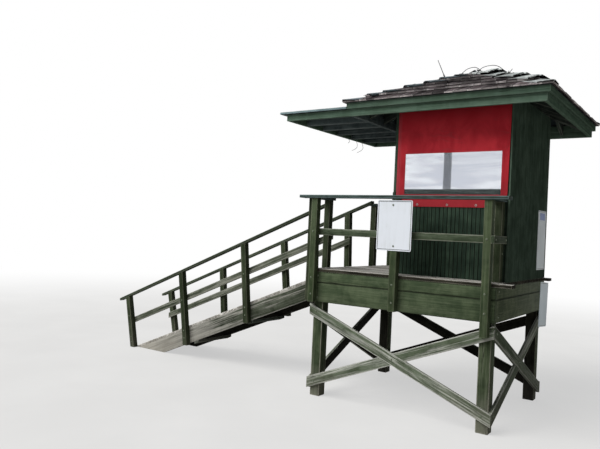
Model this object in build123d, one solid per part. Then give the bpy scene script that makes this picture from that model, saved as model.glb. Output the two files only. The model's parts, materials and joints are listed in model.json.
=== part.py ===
"""Beach lifeguard tower: a raised timber deck on four legs with a ramp, a porch rail and a small hut."""

from build123d import *
from math import cos, radians, sin, sqrt, tan
import os

# Every length is in millimetres. The model is drawn with X to the right along the front, Y to the
# back and Z up from the ground, from the front left corner of the deck, and is centred at the end.

# Lumber and clearances
plank = 38.0
post = 89.0
leg = 140.0
rail_depth = 89.0
cap_width = 140.0
siding = 16.0
seat_gap = 0.3
cutting_room = 2000.0

# Deck
deck_height = 1670.0
deck_width = 2440.0
deck_depth = 2134.0
skirt_upper = 140.0
skirt_lower = 253.0
skirt_groove = 4.0
joist_depth = 140.0
joist_count = 5
edge_board = 140.0
front_board_overrun = 170.0
back_board_overrun = 95.0
board_gap = 5.0

# Cross braces
brace_depth = 133.0
brace_drop = 27.0
brace_foot = 95.0

# Rails round the deck
rail_height = 963.0
mid_rail_height = 487.0
right_post_inset = 51.0
right_post_drop = 160.0
left_post_inset = 12.0
cap_left_end = 170.0
cap_right_end = 130.0
cap_front_edge = 115.0
back_post_gap = 325.0

# Ramp
ramp_run = 3940.0
ramp_step = 50.0
ramp_near = 469.0
ramp_width = 801.0
ramp_board = 38.0
stringer_depth = 235.0
near_post_feet = (270.0, 1453.0, 2703.0, 3975.0)
near_post_leans = (2.0, 6.0, 8.7, 12.3)
far_post_feet = (250.0, 1350.0, 2667.0, 3850.0)
far_post_leans = (2.0, 6.5, 5.9, 13.0)
near_handrail_tail = 4316.0
far_handrail_tail = 4213.0
far_handrail_lead = 160.0
near_mid_rail_tail = 4070.0
far_mid_rail_tail = 3965.0
bearer_places = (1330.0, 2440.0)

# Hut
hut_width = 1490.0
hut_depth = 1761.0
sill_height = 1075.0
sill_overhang = 22.0
stud_places = (0.34, 0.67)

# Roof
fascia_bottom = 1976.0
fascia_board = 89.0
eave_right = 460.0
eave_left = 450.0
eave_front = 403.0
eave_back = 386.0
roof_pitch = 0.43
roof_skin = 36.0
shingle_overhang = 85.0
rafter_depth = 140.0
rafter_spacing = 406.0
ridge_end = 60.0
awning_reach = 1001.0
awning_skin = 30.0
awning_overhang = 90.0
awning_joists = 5

# Curtain, signs and whip
curtain_skin = 3.0
curtain_left = 50.0
curtain_right = 20.0
curtain_bottom = 857.0
curtain_corner = 60.0
window_left = 163.0
window_right = 110.0
window_bottom = 1010.0
window_top = 1520.0
window_skin = 1.0
sign_skin = 3.0
sign_corner = 19.0
rail_sign = (460.0, 608.0)
rail_sign_drop = 59.0
wall_sign = (410.0, 790.0)
wall_sign_back = 55.0
wall_sign_bottom = 115.0
skirt_sign = (430.0, 610.0)
skirt_sign_centre = 370.0
skirt_sign_tilt = 4.0
whip_radius = 5.0
whip_height = 290.0
whip_lean = 29.0
whip_share = 0.745

# Sizes that follow from the ones above
deck_top = deck_height
deck_under = deck_top - plank
skirt_bottom = deck_under - skirt_upper - skirt_groove - skirt_lower
rail_top = deck_top + rail_height
cap_under = rail_top - plank
mid_rail_low = deck_top + mid_rail_height - rail_depth / 2
mid_rail_high = mid_rail_low + rail_depth
right_post_right = deck_width - right_post_inset
mid_post_centre = deck_width / 2
back_left_post_y = deck_depth - post - back_post_gap
ramp_far = ramp_near + ramp_width
ramp_slope = (deck_top - ramp_step) / ramp_run
ramp_secant = sqrt(1 + ramp_slope**2)
hut_left = deck_width - hut_width
hut_front = deck_depth - hut_depth
hut_right = deck_width
hut_back = deck_depth
return_cap_left = right_post_right - (post + cap_width) / 2
sill_top = deck_top + sill_height
fascia_low = deck_top + fascia_bottom
awning_under = fascia_low + fascia_board
eave_line = awning_under + fascia_board
roof_left = hut_left - eave_left
roof_right = hut_right + eave_right
roof_front = hut_front - eave_front
roof_back = hut_back + eave_back
awning_left = roof_left - awning_reach
roof_middle = (roof_left + roof_right) / 2
roof_run = (roof_right - roof_left) / 2
apex_front = roof_front + roof_run
apex_back = roof_back - roof_run
pitch_secant = sqrt(1 + roof_pitch**2)
rafter_drop = rafter_depth * pitch_secant
plate_top = eave_line - rafter_drop + roof_pitch * eave_right - seat_gap
plate_depth = 2 * plank

nodes = {}


def block(x0, x1, y0, y1, z0, z1):
    """A squared timber or board between two corners."""
    low = (Align.MIN, Align.MIN, Align.MIN)
    return Pos(x0, y0, z0) * Box(x1 - x0, y1 - y0, z1 - z0, align=low)


def side_cut(points, y0, y1):
    """A board whose outline is drawn on a plane across the depth, as (x, z) points."""
    outline = make_face(Polyline(*[(x, y0, z) for x, z in points], close=True))
    return extrude(outline, amount=y1 - y0, dir=(0, 1, 0))


def end_cut(points, x0, x1):
    """A board whose outline is drawn on a plane across the width, as (y, z) points."""
    outline = make_face(Polyline(*[(x0, y, z) for y, z in points], close=True))
    return extrude(outline, amount=x1 - x0, dir=(1, 0, 0))


def plan_cut(points, z0, z1):
    """An upright prism over a plan outline, as (x, y) points."""
    outline = make_face(Polyline(*[(x, y, z0) for x, y in points], close=True))
    return extrude(outline, amount=z1 - z0, dir=(0, 0, 1))


def add(name, *pieces):
    """Adds solids to one named piece of the tower. Those of one piece never touch each other."""
    nodes.setdefault(name, []).extend(solid for piece in pieces for solid in piece.solids())


def post_at(x0, y0, z0, z1):
    """One square rail post by its left front corner."""
    return block(x0, x0 + post, y0, y0 + post, z0, z1)


# Legs and deck


def legs():
    for x0 in (plank, deck_width - plank - leg):
        for y0 in (plank, deck_depth - plank - leg):
            add("legs", block(x0, x0 + leg, y0, y0 + leg, 0, deck_under))


def skirts():
    groove_top = deck_under - skirt_upper
    levels = ((skirt_bottom, skirt_bottom + skirt_lower), (groove_top, deck_under))
    inner_front, inner_back = plank, deck_depth - plank
    sides = (
        ("skirt_front", (0, deck_width, 0, plank)),
        ("skirt_back", (0, deck_width, inner_back, deck_depth)),
        ("skirt_sides", (0, plank, inner_front, inner_back)),
        ("skirt_sides", (deck_width - plank, deck_width, inner_front, inner_back)),
    )
    for name, (x0, x1, y0, y1) in sides:
        add(name, *[block(x0, x1, y0, y1, z0, z1) for z0, z1 in levels])


def deck():
    first, last = plank + leg, deck_width - plank - leg
    step = (last - first) / (joist_count + 1)
    joists = []
    for i in range(joist_count):
        middle = first + (i + 1) * step
        sides = (middle - plank / 2, middle + plank / 2)
        joists.append(block(*sides, plank, deck_depth - plank, deck_under - joist_depth, deck_under))
    add("deck_joists", *joists)
    level = (deck_under, deck_top)
    back = deck_depth - edge_board
    add("deck_floor", block(0, deck_width + front_board_overrun, 0, edge_board, *level))
    add("deck_floor", block(0, deck_width, edge_board + board_gap, back - board_gap, *level))
    add("deck_floor", block(0, deck_width + back_board_overrun, back, deck_depth, *level))


def brace_outline(start, end, flip):
    """A sloping brace between two upright cuts, from under the skirt down to near the foot."""
    high = skirt_bottom - brace_drop
    slope = (high - brace_foot - brace_depth) / (end - start)
    depth = brace_depth * sqrt(1 + slope**2)
    low = brace_foot + depth
    points = [(start, high - depth), (start, high), (end, low), (end, low - depth)]
    if flip:
        points = [(start + end - u, z) for u, z in points]
    return points


def braces():
    """On each side one brace runs through and the other is cut in two against it."""
    across = (0, deck_width)
    along = (plank + seat_gap, deck_depth - plank - seat_gap)
    sides = (
        ("braces_front", side_cut, across, (0, plank), False),
        ("braces_back", side_cut, across, (deck_depth - plank, deck_depth), True),
        ("braces_sides", end_cut, along, (0, plank), True),
        ("braces_sides", end_cut, along, (deck_width - plank, deck_width), False),
    )
    for name, cut, (start, end), (face, back), flip in sides:
        through = cut(brace_outline(start, end, flip), face, back)
        crossing = cut(brace_outline(start, end, not flip), face, back)
        room = offset_outline(brace_outline(start, end, flip), seat_gap)
        add(name, through, crossing - cut(room, face, back))


def offset_outline(points, gap):
    """The through brace's outline, raised and lowered by a gap, and longer at both ends."""
    (x0, low0), (_, high0), (x1, high1), (_, low1) = points
    reach = plank * (x1 - x0) / abs(x1 - x0)
    rise = (high1 - high0) / (x1 - x0) * reach
    return [
        (x0 - reach, low0 - rise - gap),
        (x0 - reach, high0 - rise + gap),
        (x1 + reach, high1 + rise + gap),
        (x1 + reach, low1 + rise - gap),
    ]


# Rails round the porch


def front_rail():
    feet = (
        (left_post_inset, skirt_bottom),
        (mid_post_centre - post / 2, skirt_bottom),
        (right_post_right - post, skirt_bottom - right_post_drop),
    )
    add("front_rail_posts", *[post_at(x0, -post, z0, cap_under) for x0, z0 in feet])
    cap = (-cap_left_end, deck_width + cap_right_end)
    add("front_cap", block(*cap, -cap_front_edge, cap_width - cap_front_edge, cap_under, rail_top))
    add("mid_rails", block(0, right_post_right - seat_gap, 0, plank, mid_rail_low, mid_rail_high))


def right_return():
    """The short return between the front rail and the hut's front corner."""
    x0 = right_post_right - post
    add("side_rail_posts", post_at(x0, hut_front - post, deck_top, cap_under))
    inner = cap_width - cap_front_edge
    cap = (return_cap_left, return_cap_left + cap_width)
    add("side_caps", block(*cap, inner, hut_front, cap_under, rail_top))
    outside = (right_post_right, right_post_right + plank)
    add("mid_rails", block(*outside, -post, hut_front, mid_rail_low, mid_rail_high))


def left_rail():
    """Posts on the deck's left side, with short rails either side of the ramp."""
    newel_y = ramp_near - post
    inner = cap_width - cap_front_edge
    corner = post_at(-post, 0, skirt_bottom, cap_under)
    newel = post_at(-post, newel_y, skirt_bottom, cap_under)
    add("side_rail_posts", corner, newel)
    cap = ((cap_width - post) / 2 - cap_width, (cap_width - post) / 2)
    add("side_caps", block(*cap, inner, ramp_near + inner, cap_under, rail_top))
    add("mid_rails", block(0, plank, plank + seat_gap, ramp_near, mid_rail_low, mid_rail_high))
    back_y = deck_depth - inner
    add("side_rail_posts", post_at(-post, back_left_post_y, skirt_bottom, cap_under))
    add("side_caps", block(*cap, back_left_post_y - inner, back_y, cap_under, rail_top))
    mids = (back_left_post_y, deck_depth - plank - seat_gap)
    add("mid_rails", block(0, plank, *mids, mid_rail_low, mid_rail_high))


def back_rail():
    """The porch's back rail, from the corner to the hut, as the front one is built."""
    places = (left_post_inset, hut_left - post)
    add("back_rail_posts", *[post_at(x0, deck_depth, skirt_bottom, cap_under) for x0 in places])
    y0 = deck_depth + cap_front_edge - cap_width
    add("back_cap", block(-cap_left_end, hut_left, y0, y0 + cap_width, cap_under, rail_top))
    add("mid_rails", block(0, hut_left, deck_depth - plank, deck_depth, mid_rail_low, mid_rail_high))


# Ramp. Heights along it are measured straight down or up from its walking surface.


def ramp_level(x):
    return deck_top - ramp_step + ramp_slope * x


def ramp_strip(x0, x1, high, low, y0, y1):
    """A board that runs along the ramp, between two heights over the walking surface."""
    points = [(x, ramp_level(x) + h) for x, h in ((x0, high), (x1, high), (x1, low), (x0, low))]
    return side_cut(points, y0, y1)


def ramp_deck():
    floor = ramp_board * ramp_secant
    beam = floor + stringer_depth * ramp_secant
    tail = -ramp_run - stringer_depth
    ground = block(tail - plank, 0, ramp_near - plank, ramp_far + plank, -cutting_room, 0)
    add("ramp_floor", ramp_strip(tail, 0, 0, -floor, ramp_near, ramp_far) - ground)
    near = ramp_strip(tail, 0, -floor, -beam, ramp_near, ramp_near + plank)
    far = ramp_strip(tail, 0, -floor, -beam, ramp_far - plank, ramp_far)
    add("ramp_stringers", near - ground, far - ground)
    low = beam + plank * ramp_secant
    for x in bearer_places:
        bearer = ramp_strip(-x - rail_depth, -x, -beam, -low, ramp_near, ramp_far)
        add("ramp_bearers", bearer)


def handrail_under(x):
    """Height of the underside of the ramp's handrail."""
    return ramp_level(x) + rail_height - plank * ramp_secant


def ramp_post(foot, lean, y0):
    """A post that leans down the ramp, with its foot level with the stringer's underside."""
    beam = (ramp_board + stringer_depth) * ramp_secant
    slant = tan(radians(lean))
    foot_z = max(0, ramp_level(-foot) - beam)

    def upper_end(x):
        """Where a long edge that starts at x on the foot meets the handrail's underside."""
        z = (handrail_under(x + slant * foot_z) - seat_gap) / (1 + ramp_slope * slant)
        return (x - slant * (z - foot_z), z)

    right = -foot + post / cos(radians(lean))
    return side_cut([(-foot, foot_z), (right, foot_z), upper_end(right), upper_end(-foot)], y0, y0 + post)


def ramp_rails():
    """Posts outside the stringers, a flat handrail on them and a mid rail on their inner faces."""
    near = (ramp_near - post, near_post_feet, near_post_leans)
    far = (ramp_far, far_post_feet, far_post_leans)
    for y0, feet, leans in (near, far):
        add("ramp_posts", *[ramp_post(foot, lean, y0) for foot, lean in zip(feet, leans)])
    top = rail_height
    under = top - plank * ramp_secant
    lengths = ((-near_handrail_tail, -post, near[0]), (-far_handrail_tail, far_handrail_lead, far[0]))
    for x0, x1, y0 in lengths:
        add("ramp_handrails", ramp_strip(x0, x1, top, under, y0, y0 + post))
    half = rail_depth * ramp_secant / 2
    high, low = mid_rail_height + half, mid_rail_height - half
    far_end = -far_post_feet[0] + post
    add("ramp_mid_rails", ramp_strip(-near_mid_rail_tail, 0, high, low, ramp_near, ramp_near + plank))
    add("ramp_mid_rails", ramp_strip(-far_mid_rail_tail, far_end, high, low, ramp_far - plank, ramp_far))


# Hut


def hut_frame():
    left, right = hut_left, hut_right - siding - post
    front, back = hut_front + siding, hut_back - siding - post
    top = plate_top - plate_depth
    corners = [post_at(x0, y0, deck_top, top) for x0 in (left, right) for y0 in (front, back)]
    add("hut_posts", *corners)
    x0, x1 = left + post, right
    y0, y1 = front + post, back
    low = (deck_top, deck_top + plank)
    inside = (y0 + seat_gap, y1 - seat_gap)
    add(
        "hut_plates",
        block(x0, x1, front, front + post, *low),
        block(x0, x1, back, back + post, *low),
        block(right, right + post, *inside, *low),
    )
    sill_under = sill_top - plank
    studs = []
    for share in stud_places:
        x = x0 + share * (x1 - x0) - plank / 2
        y = y0 + share * (y1 - y0) - plank / 2
        for row in (front, back):
            studs.append(block(x, x + plank, row, row + post, low[1], sill_under))
        studs.append(block(right, right + post, y, y + plank, low[1], top))
    add("hut_studs", *studs)
    high = (top, plate_top)
    add(
        "hut_plates",
        block(left, right + post, front, front + post, *high),
        block(left, right + post, back, back + post, *high),
        block(left, left + post, *inside, *high),
        block(right, right + post, *inside, *high),
    )
    sill = (sill_under, sill_top)
    add("hut_sills", block(x0, x1, hut_front, front + post + sill_overhang, *sill))
    add("hut_sills", block(x0, x1, back - sill_overhang, hut_back, *sill))


def hut_walls():
    sill_under = sill_top - plank
    left, right = hut_left, hut_right - siding
    low = (deck_top, sill_under)
    add("hut_wall_front", block(left, right, hut_front, hut_front + siding, *low))
    add("hut_wall_back", block(left, right, hut_back - siding, hut_back, *low))
    add("hut_wall_right", block(right, hut_right, hut_front, hut_back, deck_top, plate_top))


# Roof


def slope_profile(eave, apex, drop_high, drop_low):
    """Section of one roof slope across its eave, between two depths under its lower surface."""
    rise = roof_pitch * abs(apex - eave)
    return [
        (eave, eave_line - drop_high),
        (apex, eave_line + rise - drop_high),
        (apex, eave_line + rise - drop_low),
        (eave, eave_line - drop_low),
    ]


def slope_plans(shrink):
    """Plan outlines of the four slopes, drawn back from the hips and the ridge."""
    out = shingle_overhang
    x0, x1 = roof_left - out, roof_right + out
    y0, y1 = roof_front - out, roof_back + out
    side = shrink * sqrt(2)
    mid = roof_middle
    front, back = apex_front, apex_back
    return {
        "front": [(x0 + side, y0), (x1 - side, y0), (mid, front - side)],
        "back": [(x1 - side, y1), (x0 + side, y1), (mid, back + side)],
        "left": [(x0, y1 - side), (x0, y0 + side), (mid - shrink, front + side - shrink),
                 (mid - shrink, back - side + shrink)],
        "right": [(x1, y0 + side), (x1, y1 - side), (mid + shrink, back - side + shrink),
                  (mid + shrink, front + side - shrink)],
    }


def slope_blank(side, start, end, out, drop_high, drop_low):
    """The slope's slab or a rafter before it is cut to its plan, from start to end along the eave."""
    eaves = {"front": roof_front, "back": roof_back, "left": roof_left, "right": roof_right}
    apexes = {"front": apex_front, "back": apex_back, "left": roof_middle, "right": roof_middle}
    eave, apex = eaves[side], apexes[side]
    inward = 1 if apex > eave else -1
    points = slope_profile(eave, apex, drop_high, drop_low)
    fall = roof_pitch * out
    points[0] = (eave - inward * out, points[0][1] - fall)
    points[3] = (eave - inward * out, points[3][1] - fall)
    cut = end_cut if side in ("front", "back") else side_cut
    return cut(points, start, end)


def roof_slopes():
    skin = roof_skin * pitch_secant
    out = shingle_overhang
    spans = {
        "front": (roof_left - out, roof_right + out),
        "back": (roof_left - out, roof_right + out),
        "left": (roof_front - out, roof_back + out),
        "right": (roof_front - out, roof_back + out),
    }
    plans = slope_plans(seat_gap / 2)
    for side, (start, end) in spans.items():
        slab = slope_blank(side, start, end, out, -skin, 0)
        add("roof_%s_slope" % side, slab & plan_cut(plans[side], 0, eave_line + cutting_room))


def plate_space():
    """The top plates' own space, which the rafters are notched round."""
    gap = seat_gap
    outer = block(hut_left - gap, hut_right + gap, hut_front - gap, hut_back + gap, 0, plate_top + gap)
    inset = siding + post + gap
    inner = block(
        hut_left + post + gap, hut_right - inset, hut_front + inset, hut_back - inset, -plank, plate_top + plank
    )
    return outer - inner


def rafters():
    gap = seat_gap
    half = plank / 2
    inner = {"front": plank, "back": plank, "left": plank, "right": plank}
    plans = slope_plans(half + gap)
    taken = plate_space()
    board = block(
        roof_middle - half, roof_middle + half, apex_front - ridge_end, apex_back + ridge_end,
        eave_line + roof_pitch * (roof_run - ridge_end) - rafter_drop,
        eave_line + roof_pitch * (roof_run - ridge_end) - gap,
    )
    around = block(
        roof_middle - half - gap, roof_middle + half + gap,
        apex_front - ridge_end - gap, apex_back + ridge_end + gap, 0, eave_line + cutting_room,
    )
    add("hip_frame", board)
    for side in ("front", "back", "left", "right"):
        low, high = (roof_left, roof_right) if side in ("front", "back") else (roof_front, roof_back)
        middle = (low + high) / 2
        reach = int(((high - low) / 2 - rafter_spacing / 2) // rafter_spacing)
        tails = []
        for i in range(-reach, reach + 1):
            centre = middle + i * rafter_spacing
            blank = slope_blank(side, centre - half, centre + half, -inner[side] - gap, gap, rafter_drop)
            piece = blank & plan_cut(plans[side], 0, eave_line + cutting_room)
            tails.append(piece - taken - around)
        add("rafters", *tails)
    add("hip_frame", *[hip_rafter(x, y) - taken - around for x in (-1, 1) for y in (-1, 1)])


def hip_rafter(x_side, y_side):
    """One hip rafter, set low enough for both slopes to clear its corners."""
    half = plank / 2
    corner_x = roof_right if x_side > 0 else roof_left
    corner_y = roof_back if y_side > 0 else roof_front
    apex_y = apex_back if y_side > 0 else apex_front
    inset = plank + seat_gap
    drop = half * sqrt(2) / 2 * roof_pitch + seat_gap
    rise = roof_pitch / sqrt(2)
    start = (inset + half) * sqrt(2)
    length = roof_run * sqrt(2)
    depth = rafter_depth * sqrt(1 + rise**2)
    points = [
        (start, eave_line + rise * start - drop),
        (length, eave_line + rise * length - drop),
        (length, eave_line + rise * length - drop - depth),
        (start, eave_line + rise * start - drop - depth),
    ]
    outline = make_face(Polyline(*[(u, -half, z) for u, z in points], close=True))
    blank = extrude(outline, amount=plank, dir=(0, 1, 0))
    turn = {(1, 1): 225, (-1, 1): -45, (-1, -1): 45, (1, -1): 135}[(x_side, y_side)]
    return Pos(corner_x, corner_y, 0) * Rot(0, 0, turn) * blank


def fascias():
    low = (fascia_low, awning_under)
    front, back = roof_front + plank, roof_back - plank
    between = (front + seat_gap, back - seat_gap)
    add("fascia_boards", block(awning_left, roof_right, roof_front, front, *low))
    add("fascia_boards", block(awning_left, roof_right, back, roof_back, *low))
    add("fascia_boards", block(roof_right - plank, roof_right, *between, *low))
    add("fascia_boards", block(awning_left, awning_left + plank, *between, *low))
    upper = (awning_under, eave_line - seat_gap)
    add("fascia_upper", block(roof_left, roof_right, roof_front, front, *upper))
    add("fascia_upper", block(roof_left, roof_right, back, roof_back, *upper))
    add("fascia_upper", block(roof_right - plank, roof_right, *between, *upper))
    add("awning_frame", block(roof_left, roof_left + plank, *between, fascia_low, eave_line - seat_gap))
    x0, x1 = roof_left - plank, roof_right + plank
    y0, y1 = roof_front - plank, roof_back + plank
    trim_top = eave_line - roof_pitch * plank - seat_gap
    high = (awning_under, trim_top)
    add("fascia_trim", block(x0, x1, y0, roof_front, *high))
    add("fascia_trim", block(x0, x1, roof_back, y1, *high))
    sides = (roof_front + seat_gap, roof_back - seat_gap)
    add("fascia_trim", block(roof_right, x1, *sides, *high))
    add("fascia_trim", block(x0, roof_left, *sides, awning_under + awning_skin, trim_top))


def awning():
    first, last = roof_front + plank, roof_back - plank
    step = (last - first) / (awning_joists + 1)
    joists = []
    for i in range(awning_joists):
        middle = first + (i + 1) * step
        sides = (middle - plank / 2, middle + plank / 2)
        ends = (awning_left + plank, roof_left - seat_gap)
        joists.append(block(*ends, *sides, fascia_low, awning_under))
    add("awning_frame", *joists)
    high = (awning_under, awning_under + awning_skin)
    sheet = block(awning_left - awning_overhang, roof_left, roof_front, roof_back, *high)
    edge = awning_overhang / 2
    wide = block(awning_left - awning_overhang, roof_left - plank - seat_gap, roof_front - edge, roof_back + edge, *high)
    add("awning_roof", sheet + wide)


# Curtain, signs and whip


def curtain():
    """The vinyl curtain over the hut's front, with its clear window, clear of the return rail."""
    y1 = hut_front - seat_gap
    y0 = y1 - curtain_skin
    x0, x1 = hut_left + curtain_left, hut_right - curtain_right
    z0 = deck_top + curtain_bottom
    z1 = eave_line - rafter_drop + roof_pitch * (eave_front - 2 * curtain_skin) - seat_gap
    notch_x, notch_z = return_cap_left - curtain_skin, rail_top + curtain_skin
    outline = [(x0, z0), (notch_x, z0), (notch_x, notch_z), (x1, notch_z), (x1, z1), (x0, z1)]
    sheet = side_cut(outline, y0, y1)
    corner = sheet.edges().filter_by(Axis.Y).sort_by(lambda e: e.center().X - e.center().Z)[-1]
    sheet = fillet(corner, curtain_corner)
    w0, w1 = hut_left + window_left, hut_right - window_right
    h0, h1 = deck_top + window_bottom, deck_top + window_top
    add("curtain", sheet - block(w0, w1, y0, y1, h0, h1))
    gap = seat_gap
    middle = (y0 + y1) / 2
    sides = (middle - window_skin / 2, middle + window_skin / 2)
    add("curtain_window", block(w0 + gap, w1 - gap, *sides, h0 + gap, h1 - gap))


def signs():
    width, height = rail_sign
    x0 = mid_post_centre - width / 2
    z1 = rail_top - rail_sign_drop
    add("rail_sign", rounded_sign(block(x0, x0 + width, -post - sign_skin, -post, z1 - height, z1), Axis.Y))
    width, height = wall_sign
    y1 = hut_back - wall_sign_back
    z0 = deck_top + wall_sign_bottom
    sheet = block(hut_right, hut_right + sign_skin, y1 - width, y1, z0, z0 + height)
    add("side_signs", rounded_sign(sheet, Axis.X))
    width, height = skirt_sign
    sheet = block(0, sign_skin, -width / 2, width / 2, -height / 2, height / 2)
    place = Pos(deck_width, deck_depth, deck_top - skirt_sign_centre) * Rot(-skirt_sign_tilt, 0, 0)
    add("side_signs", place * rounded_sign(sheet, Axis.X))


def rounded_sign(sheet, axis):
    return fillet(sheet.edges().filter_by(axis), sign_corner)


def whip():
    """The whip aerial on the front left hip."""
    run = whip_share * roof_run
    x, y = roof_left + run, roof_front + run
    z = eave_line + roof_pitch * run + roof_skin * pitch_secant + seat_gap
    rod = Cylinder(whip_radius, whip_height, align=(Align.CENTER, Align.CENTER, Align.MIN))
    foot_clear = whip_radius * max(0, sin(radians(whip_lean)) - roof_pitch)
    add("whip_aerial", Pos(x, y, z + foot_clear) * Rot(0, -whip_lean, 0) * rod)


legs()
skirts()
deck()
braces()
front_rail()
right_return()
left_rail()
back_rail()
ramp_deck()
ramp_rails()
hut_frame()
hut_walls()
roof_slopes()
rafters()
fascias()
awning()
curtain()
signs()
whip()

# The origin is the middle of the whole tower on the ground.
whole = Compound([solid for solids in nodes.values() for solid in solids]).bounding_box()
centre_x = (whole.min.X + whole.max.X) / 2
centre_y = (whole.min.Y + whole.max.Y) / 2
os.makedirs("parts", exist_ok=True)
for name, solids in nodes.items():
    placed = [Pos(-centre_x, -centre_y, 0) * solid for solid in solids]
    export_step(Compound(placed), "parts/%s.step" % name)
print("nodes", len(nodes), "centre", round(centre_x, 3), round(centre_y, 3), "size", whole.size)
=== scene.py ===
import bpy
import bmesh
import json
import math
import random
from contextlib import contextmanager
from functools import partial
from mathutils import Matrix, Vector

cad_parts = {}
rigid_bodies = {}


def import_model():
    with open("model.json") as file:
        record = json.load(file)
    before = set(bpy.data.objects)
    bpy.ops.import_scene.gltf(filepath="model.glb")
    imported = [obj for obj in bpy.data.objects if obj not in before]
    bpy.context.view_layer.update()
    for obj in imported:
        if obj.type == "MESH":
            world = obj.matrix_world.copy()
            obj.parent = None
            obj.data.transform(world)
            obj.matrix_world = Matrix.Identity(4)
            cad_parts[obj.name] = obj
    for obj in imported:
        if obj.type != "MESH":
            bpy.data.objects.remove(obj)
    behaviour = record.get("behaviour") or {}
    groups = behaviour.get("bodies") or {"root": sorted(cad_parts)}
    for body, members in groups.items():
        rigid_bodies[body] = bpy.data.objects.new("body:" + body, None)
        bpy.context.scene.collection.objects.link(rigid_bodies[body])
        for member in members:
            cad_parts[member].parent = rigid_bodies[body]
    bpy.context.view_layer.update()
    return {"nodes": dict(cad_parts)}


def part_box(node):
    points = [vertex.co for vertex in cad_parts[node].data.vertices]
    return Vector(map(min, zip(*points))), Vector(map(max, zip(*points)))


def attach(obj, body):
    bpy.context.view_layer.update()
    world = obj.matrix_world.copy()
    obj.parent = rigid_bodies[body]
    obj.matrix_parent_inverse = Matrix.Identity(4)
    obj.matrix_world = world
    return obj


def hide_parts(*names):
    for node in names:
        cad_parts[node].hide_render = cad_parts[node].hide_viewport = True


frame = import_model()
cadNodes = frame["nodes"]

# the front left corner of the deck, at the top of its boards; every place below is measured from it
deckCorner = Vector((*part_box("skirt_front")[0].xy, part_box("deck_floor")[1].z))
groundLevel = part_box("legs")[0].z
rightward, backward, upward = Vector((1, 0, 0)), Vector((0, 1, 0)), Vector((0, 0, 1))


def at(x, y, z):
    return deckCorner + Vector((x, y, z))


def frameOf(x, y, z, place=(0, 0, 0)):
    # a matrix that turns a piece to these three directions and moves it to a place
    return Matrix.Translation(place) @ Matrix((x, y, z)).transposed().to_4x4()


def newPiece(name, data):
    piece = bpy.data.objects.new(name, data)
    bpy.context.scene.collection.objects.link(piece)
    return piece


def tint(red, green, blue):
    # screen values from 0 to 255 to the linear ones that nodes take
    shown = [value / 255 for value in (red, green, blue)]
    return tuple(v / 12.92 if v <= 0.04045 else ((v + 0.055) / 1.055) ** 2.4 for v in shown) + (1.0,)


def darker(colour, share):
    return tuple(value * share for value in colour[:3]) + (1.0,)


# how nodes are put together
def feed(socket, value):
    if isinstance(value, bpy.types.NodeSocket):
        socket.id_data.links.new(value, socket)
    else:
        socket.default_value = value


def treeOf(*values):
    return next(value.id_data for value in values if isinstance(value, bpy.types.NodeSocket))


def addNode(tree, kind, inputs=None, **settings):
    made = tree.nodes.new("ShaderNode" + kind)
    for key, value in settings.items():
        setattr(made, key, value)
    for key, value in (inputs or {}).items():
        feed(made.inputs[key], value)
    return made


def calc(operation, *values):
    return addNode(treeOf(*values), "Math", dict(enumerate(values)), operation=operation).outputs[0]


# scaled gives value * factor + added
times, plus, minus, scaled = (partial(calc, kind) for kind in ("MULTIPLY", "ADD", "SUBTRACT", "MULTIPLY_ADD"))


def parts(vector):
    return addNode(treeOf(vector), "SeparateXYZ", {0: vector}).outputs


def noise(place, scale, detail=4.0, roughness=0.55, distortion=0.0, shift=(0.0, 0.0, 0.0), turn=0.0):
    # three scales stretch the noise, and shift and turn move it
    if isinstance(scale, tuple):
        inputs = {"Vector": place, "Scale": scale, "Location": shift, "Rotation": (0.0, 0.0, turn)}
        place, scale = addNode(treeOf(place), "Mapping", inputs).outputs[0], 1.0
    inputs = {"Vector": place, "Scale": scale, "Detail": detail, "Roughness": roughness, "Distortion": distortion}
    return addNode(treeOf(place), "TexNoise", inputs).outputs["Fac"]


def band(value, low, high, outLow=0.0, outHigh=1.0, kind="SMOOTHSTEP"):
    inputs = {"Value": value, "From Min": low, "From Max": high, "To Min": outLow, "To Max": outHigh}
    return addNode(treeOf(value), "MapRange", inputs, interpolation_type=kind).outputs["Result"]


def blend(factor, first, second, way="MIX"):
    inputs = {0: factor, 6: first, 7: second}
    return addNode(treeOf(factor, first, second), "Mix", inputs, data_type="RGBA", blend_type=way).outputs[2]


def seenRays(tree):
    # the rays that the eye follows: straight, by a reflection or through a clear sheet
    rays = addNode(tree, "LightPath").outputs
    return calc("MAXIMUM", calc("MAXIMUM", rays["Is Camera Ray"], rays["Is Glossy Ray"]), rays["Is Transmission Ray"])


# camera, sun and sky
print("camera and stage")
cameraSetup = {"place": (4.5137, -6.7528, 0.4735), "yaw": 0.6115, "pitch": 0.0115, "roll": 0.0479, "lens": 36.77}
lightSetup = {"sun": 3.25, "sunSpread": 40, "sunWay": (0.50, 0.80, -1.0), "sky": 0.40, "skySide": (-0.92, -0.30, 0.10)}

yaw, pitch, roll = cameraSetup["yaw"], cameraSetup["pitch"], cameraSetup["roll"]
forward = Vector((-math.sin(yaw) * math.cos(pitch), math.cos(yaw) * math.cos(pitch), math.sin(pitch)))
level = Vector((math.cos(yaw), math.sin(yaw), 0))
upright = level.cross(forward)
camera = newPiece("photoCamera", bpy.data.cameras.new("photoCamera"))
camera.data.lens = cameraSetup["lens"]
camera.matrix_world = frameOf(level * math.cos(roll) + upright * math.sin(roll),
                              upright * math.cos(roll) - level * math.sin(roll), -forward, at(*cameraSetup["place"]))
bpy.context.scene.camera = camera
bpy.context.scene.view_settings.view_transform = "Standard"

sun = newPiece("softSun", bpy.data.lights.new("softSun", "SUN"))
sun.data.energy = lightSetup["sun"]
sun.data.angle = math.radians(lightSetup["sunSpread"])
sun.rotation_euler = Vector(lightSetup["sunWay"]).to_track_quat("-Z", "Y").to_euler()

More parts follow.
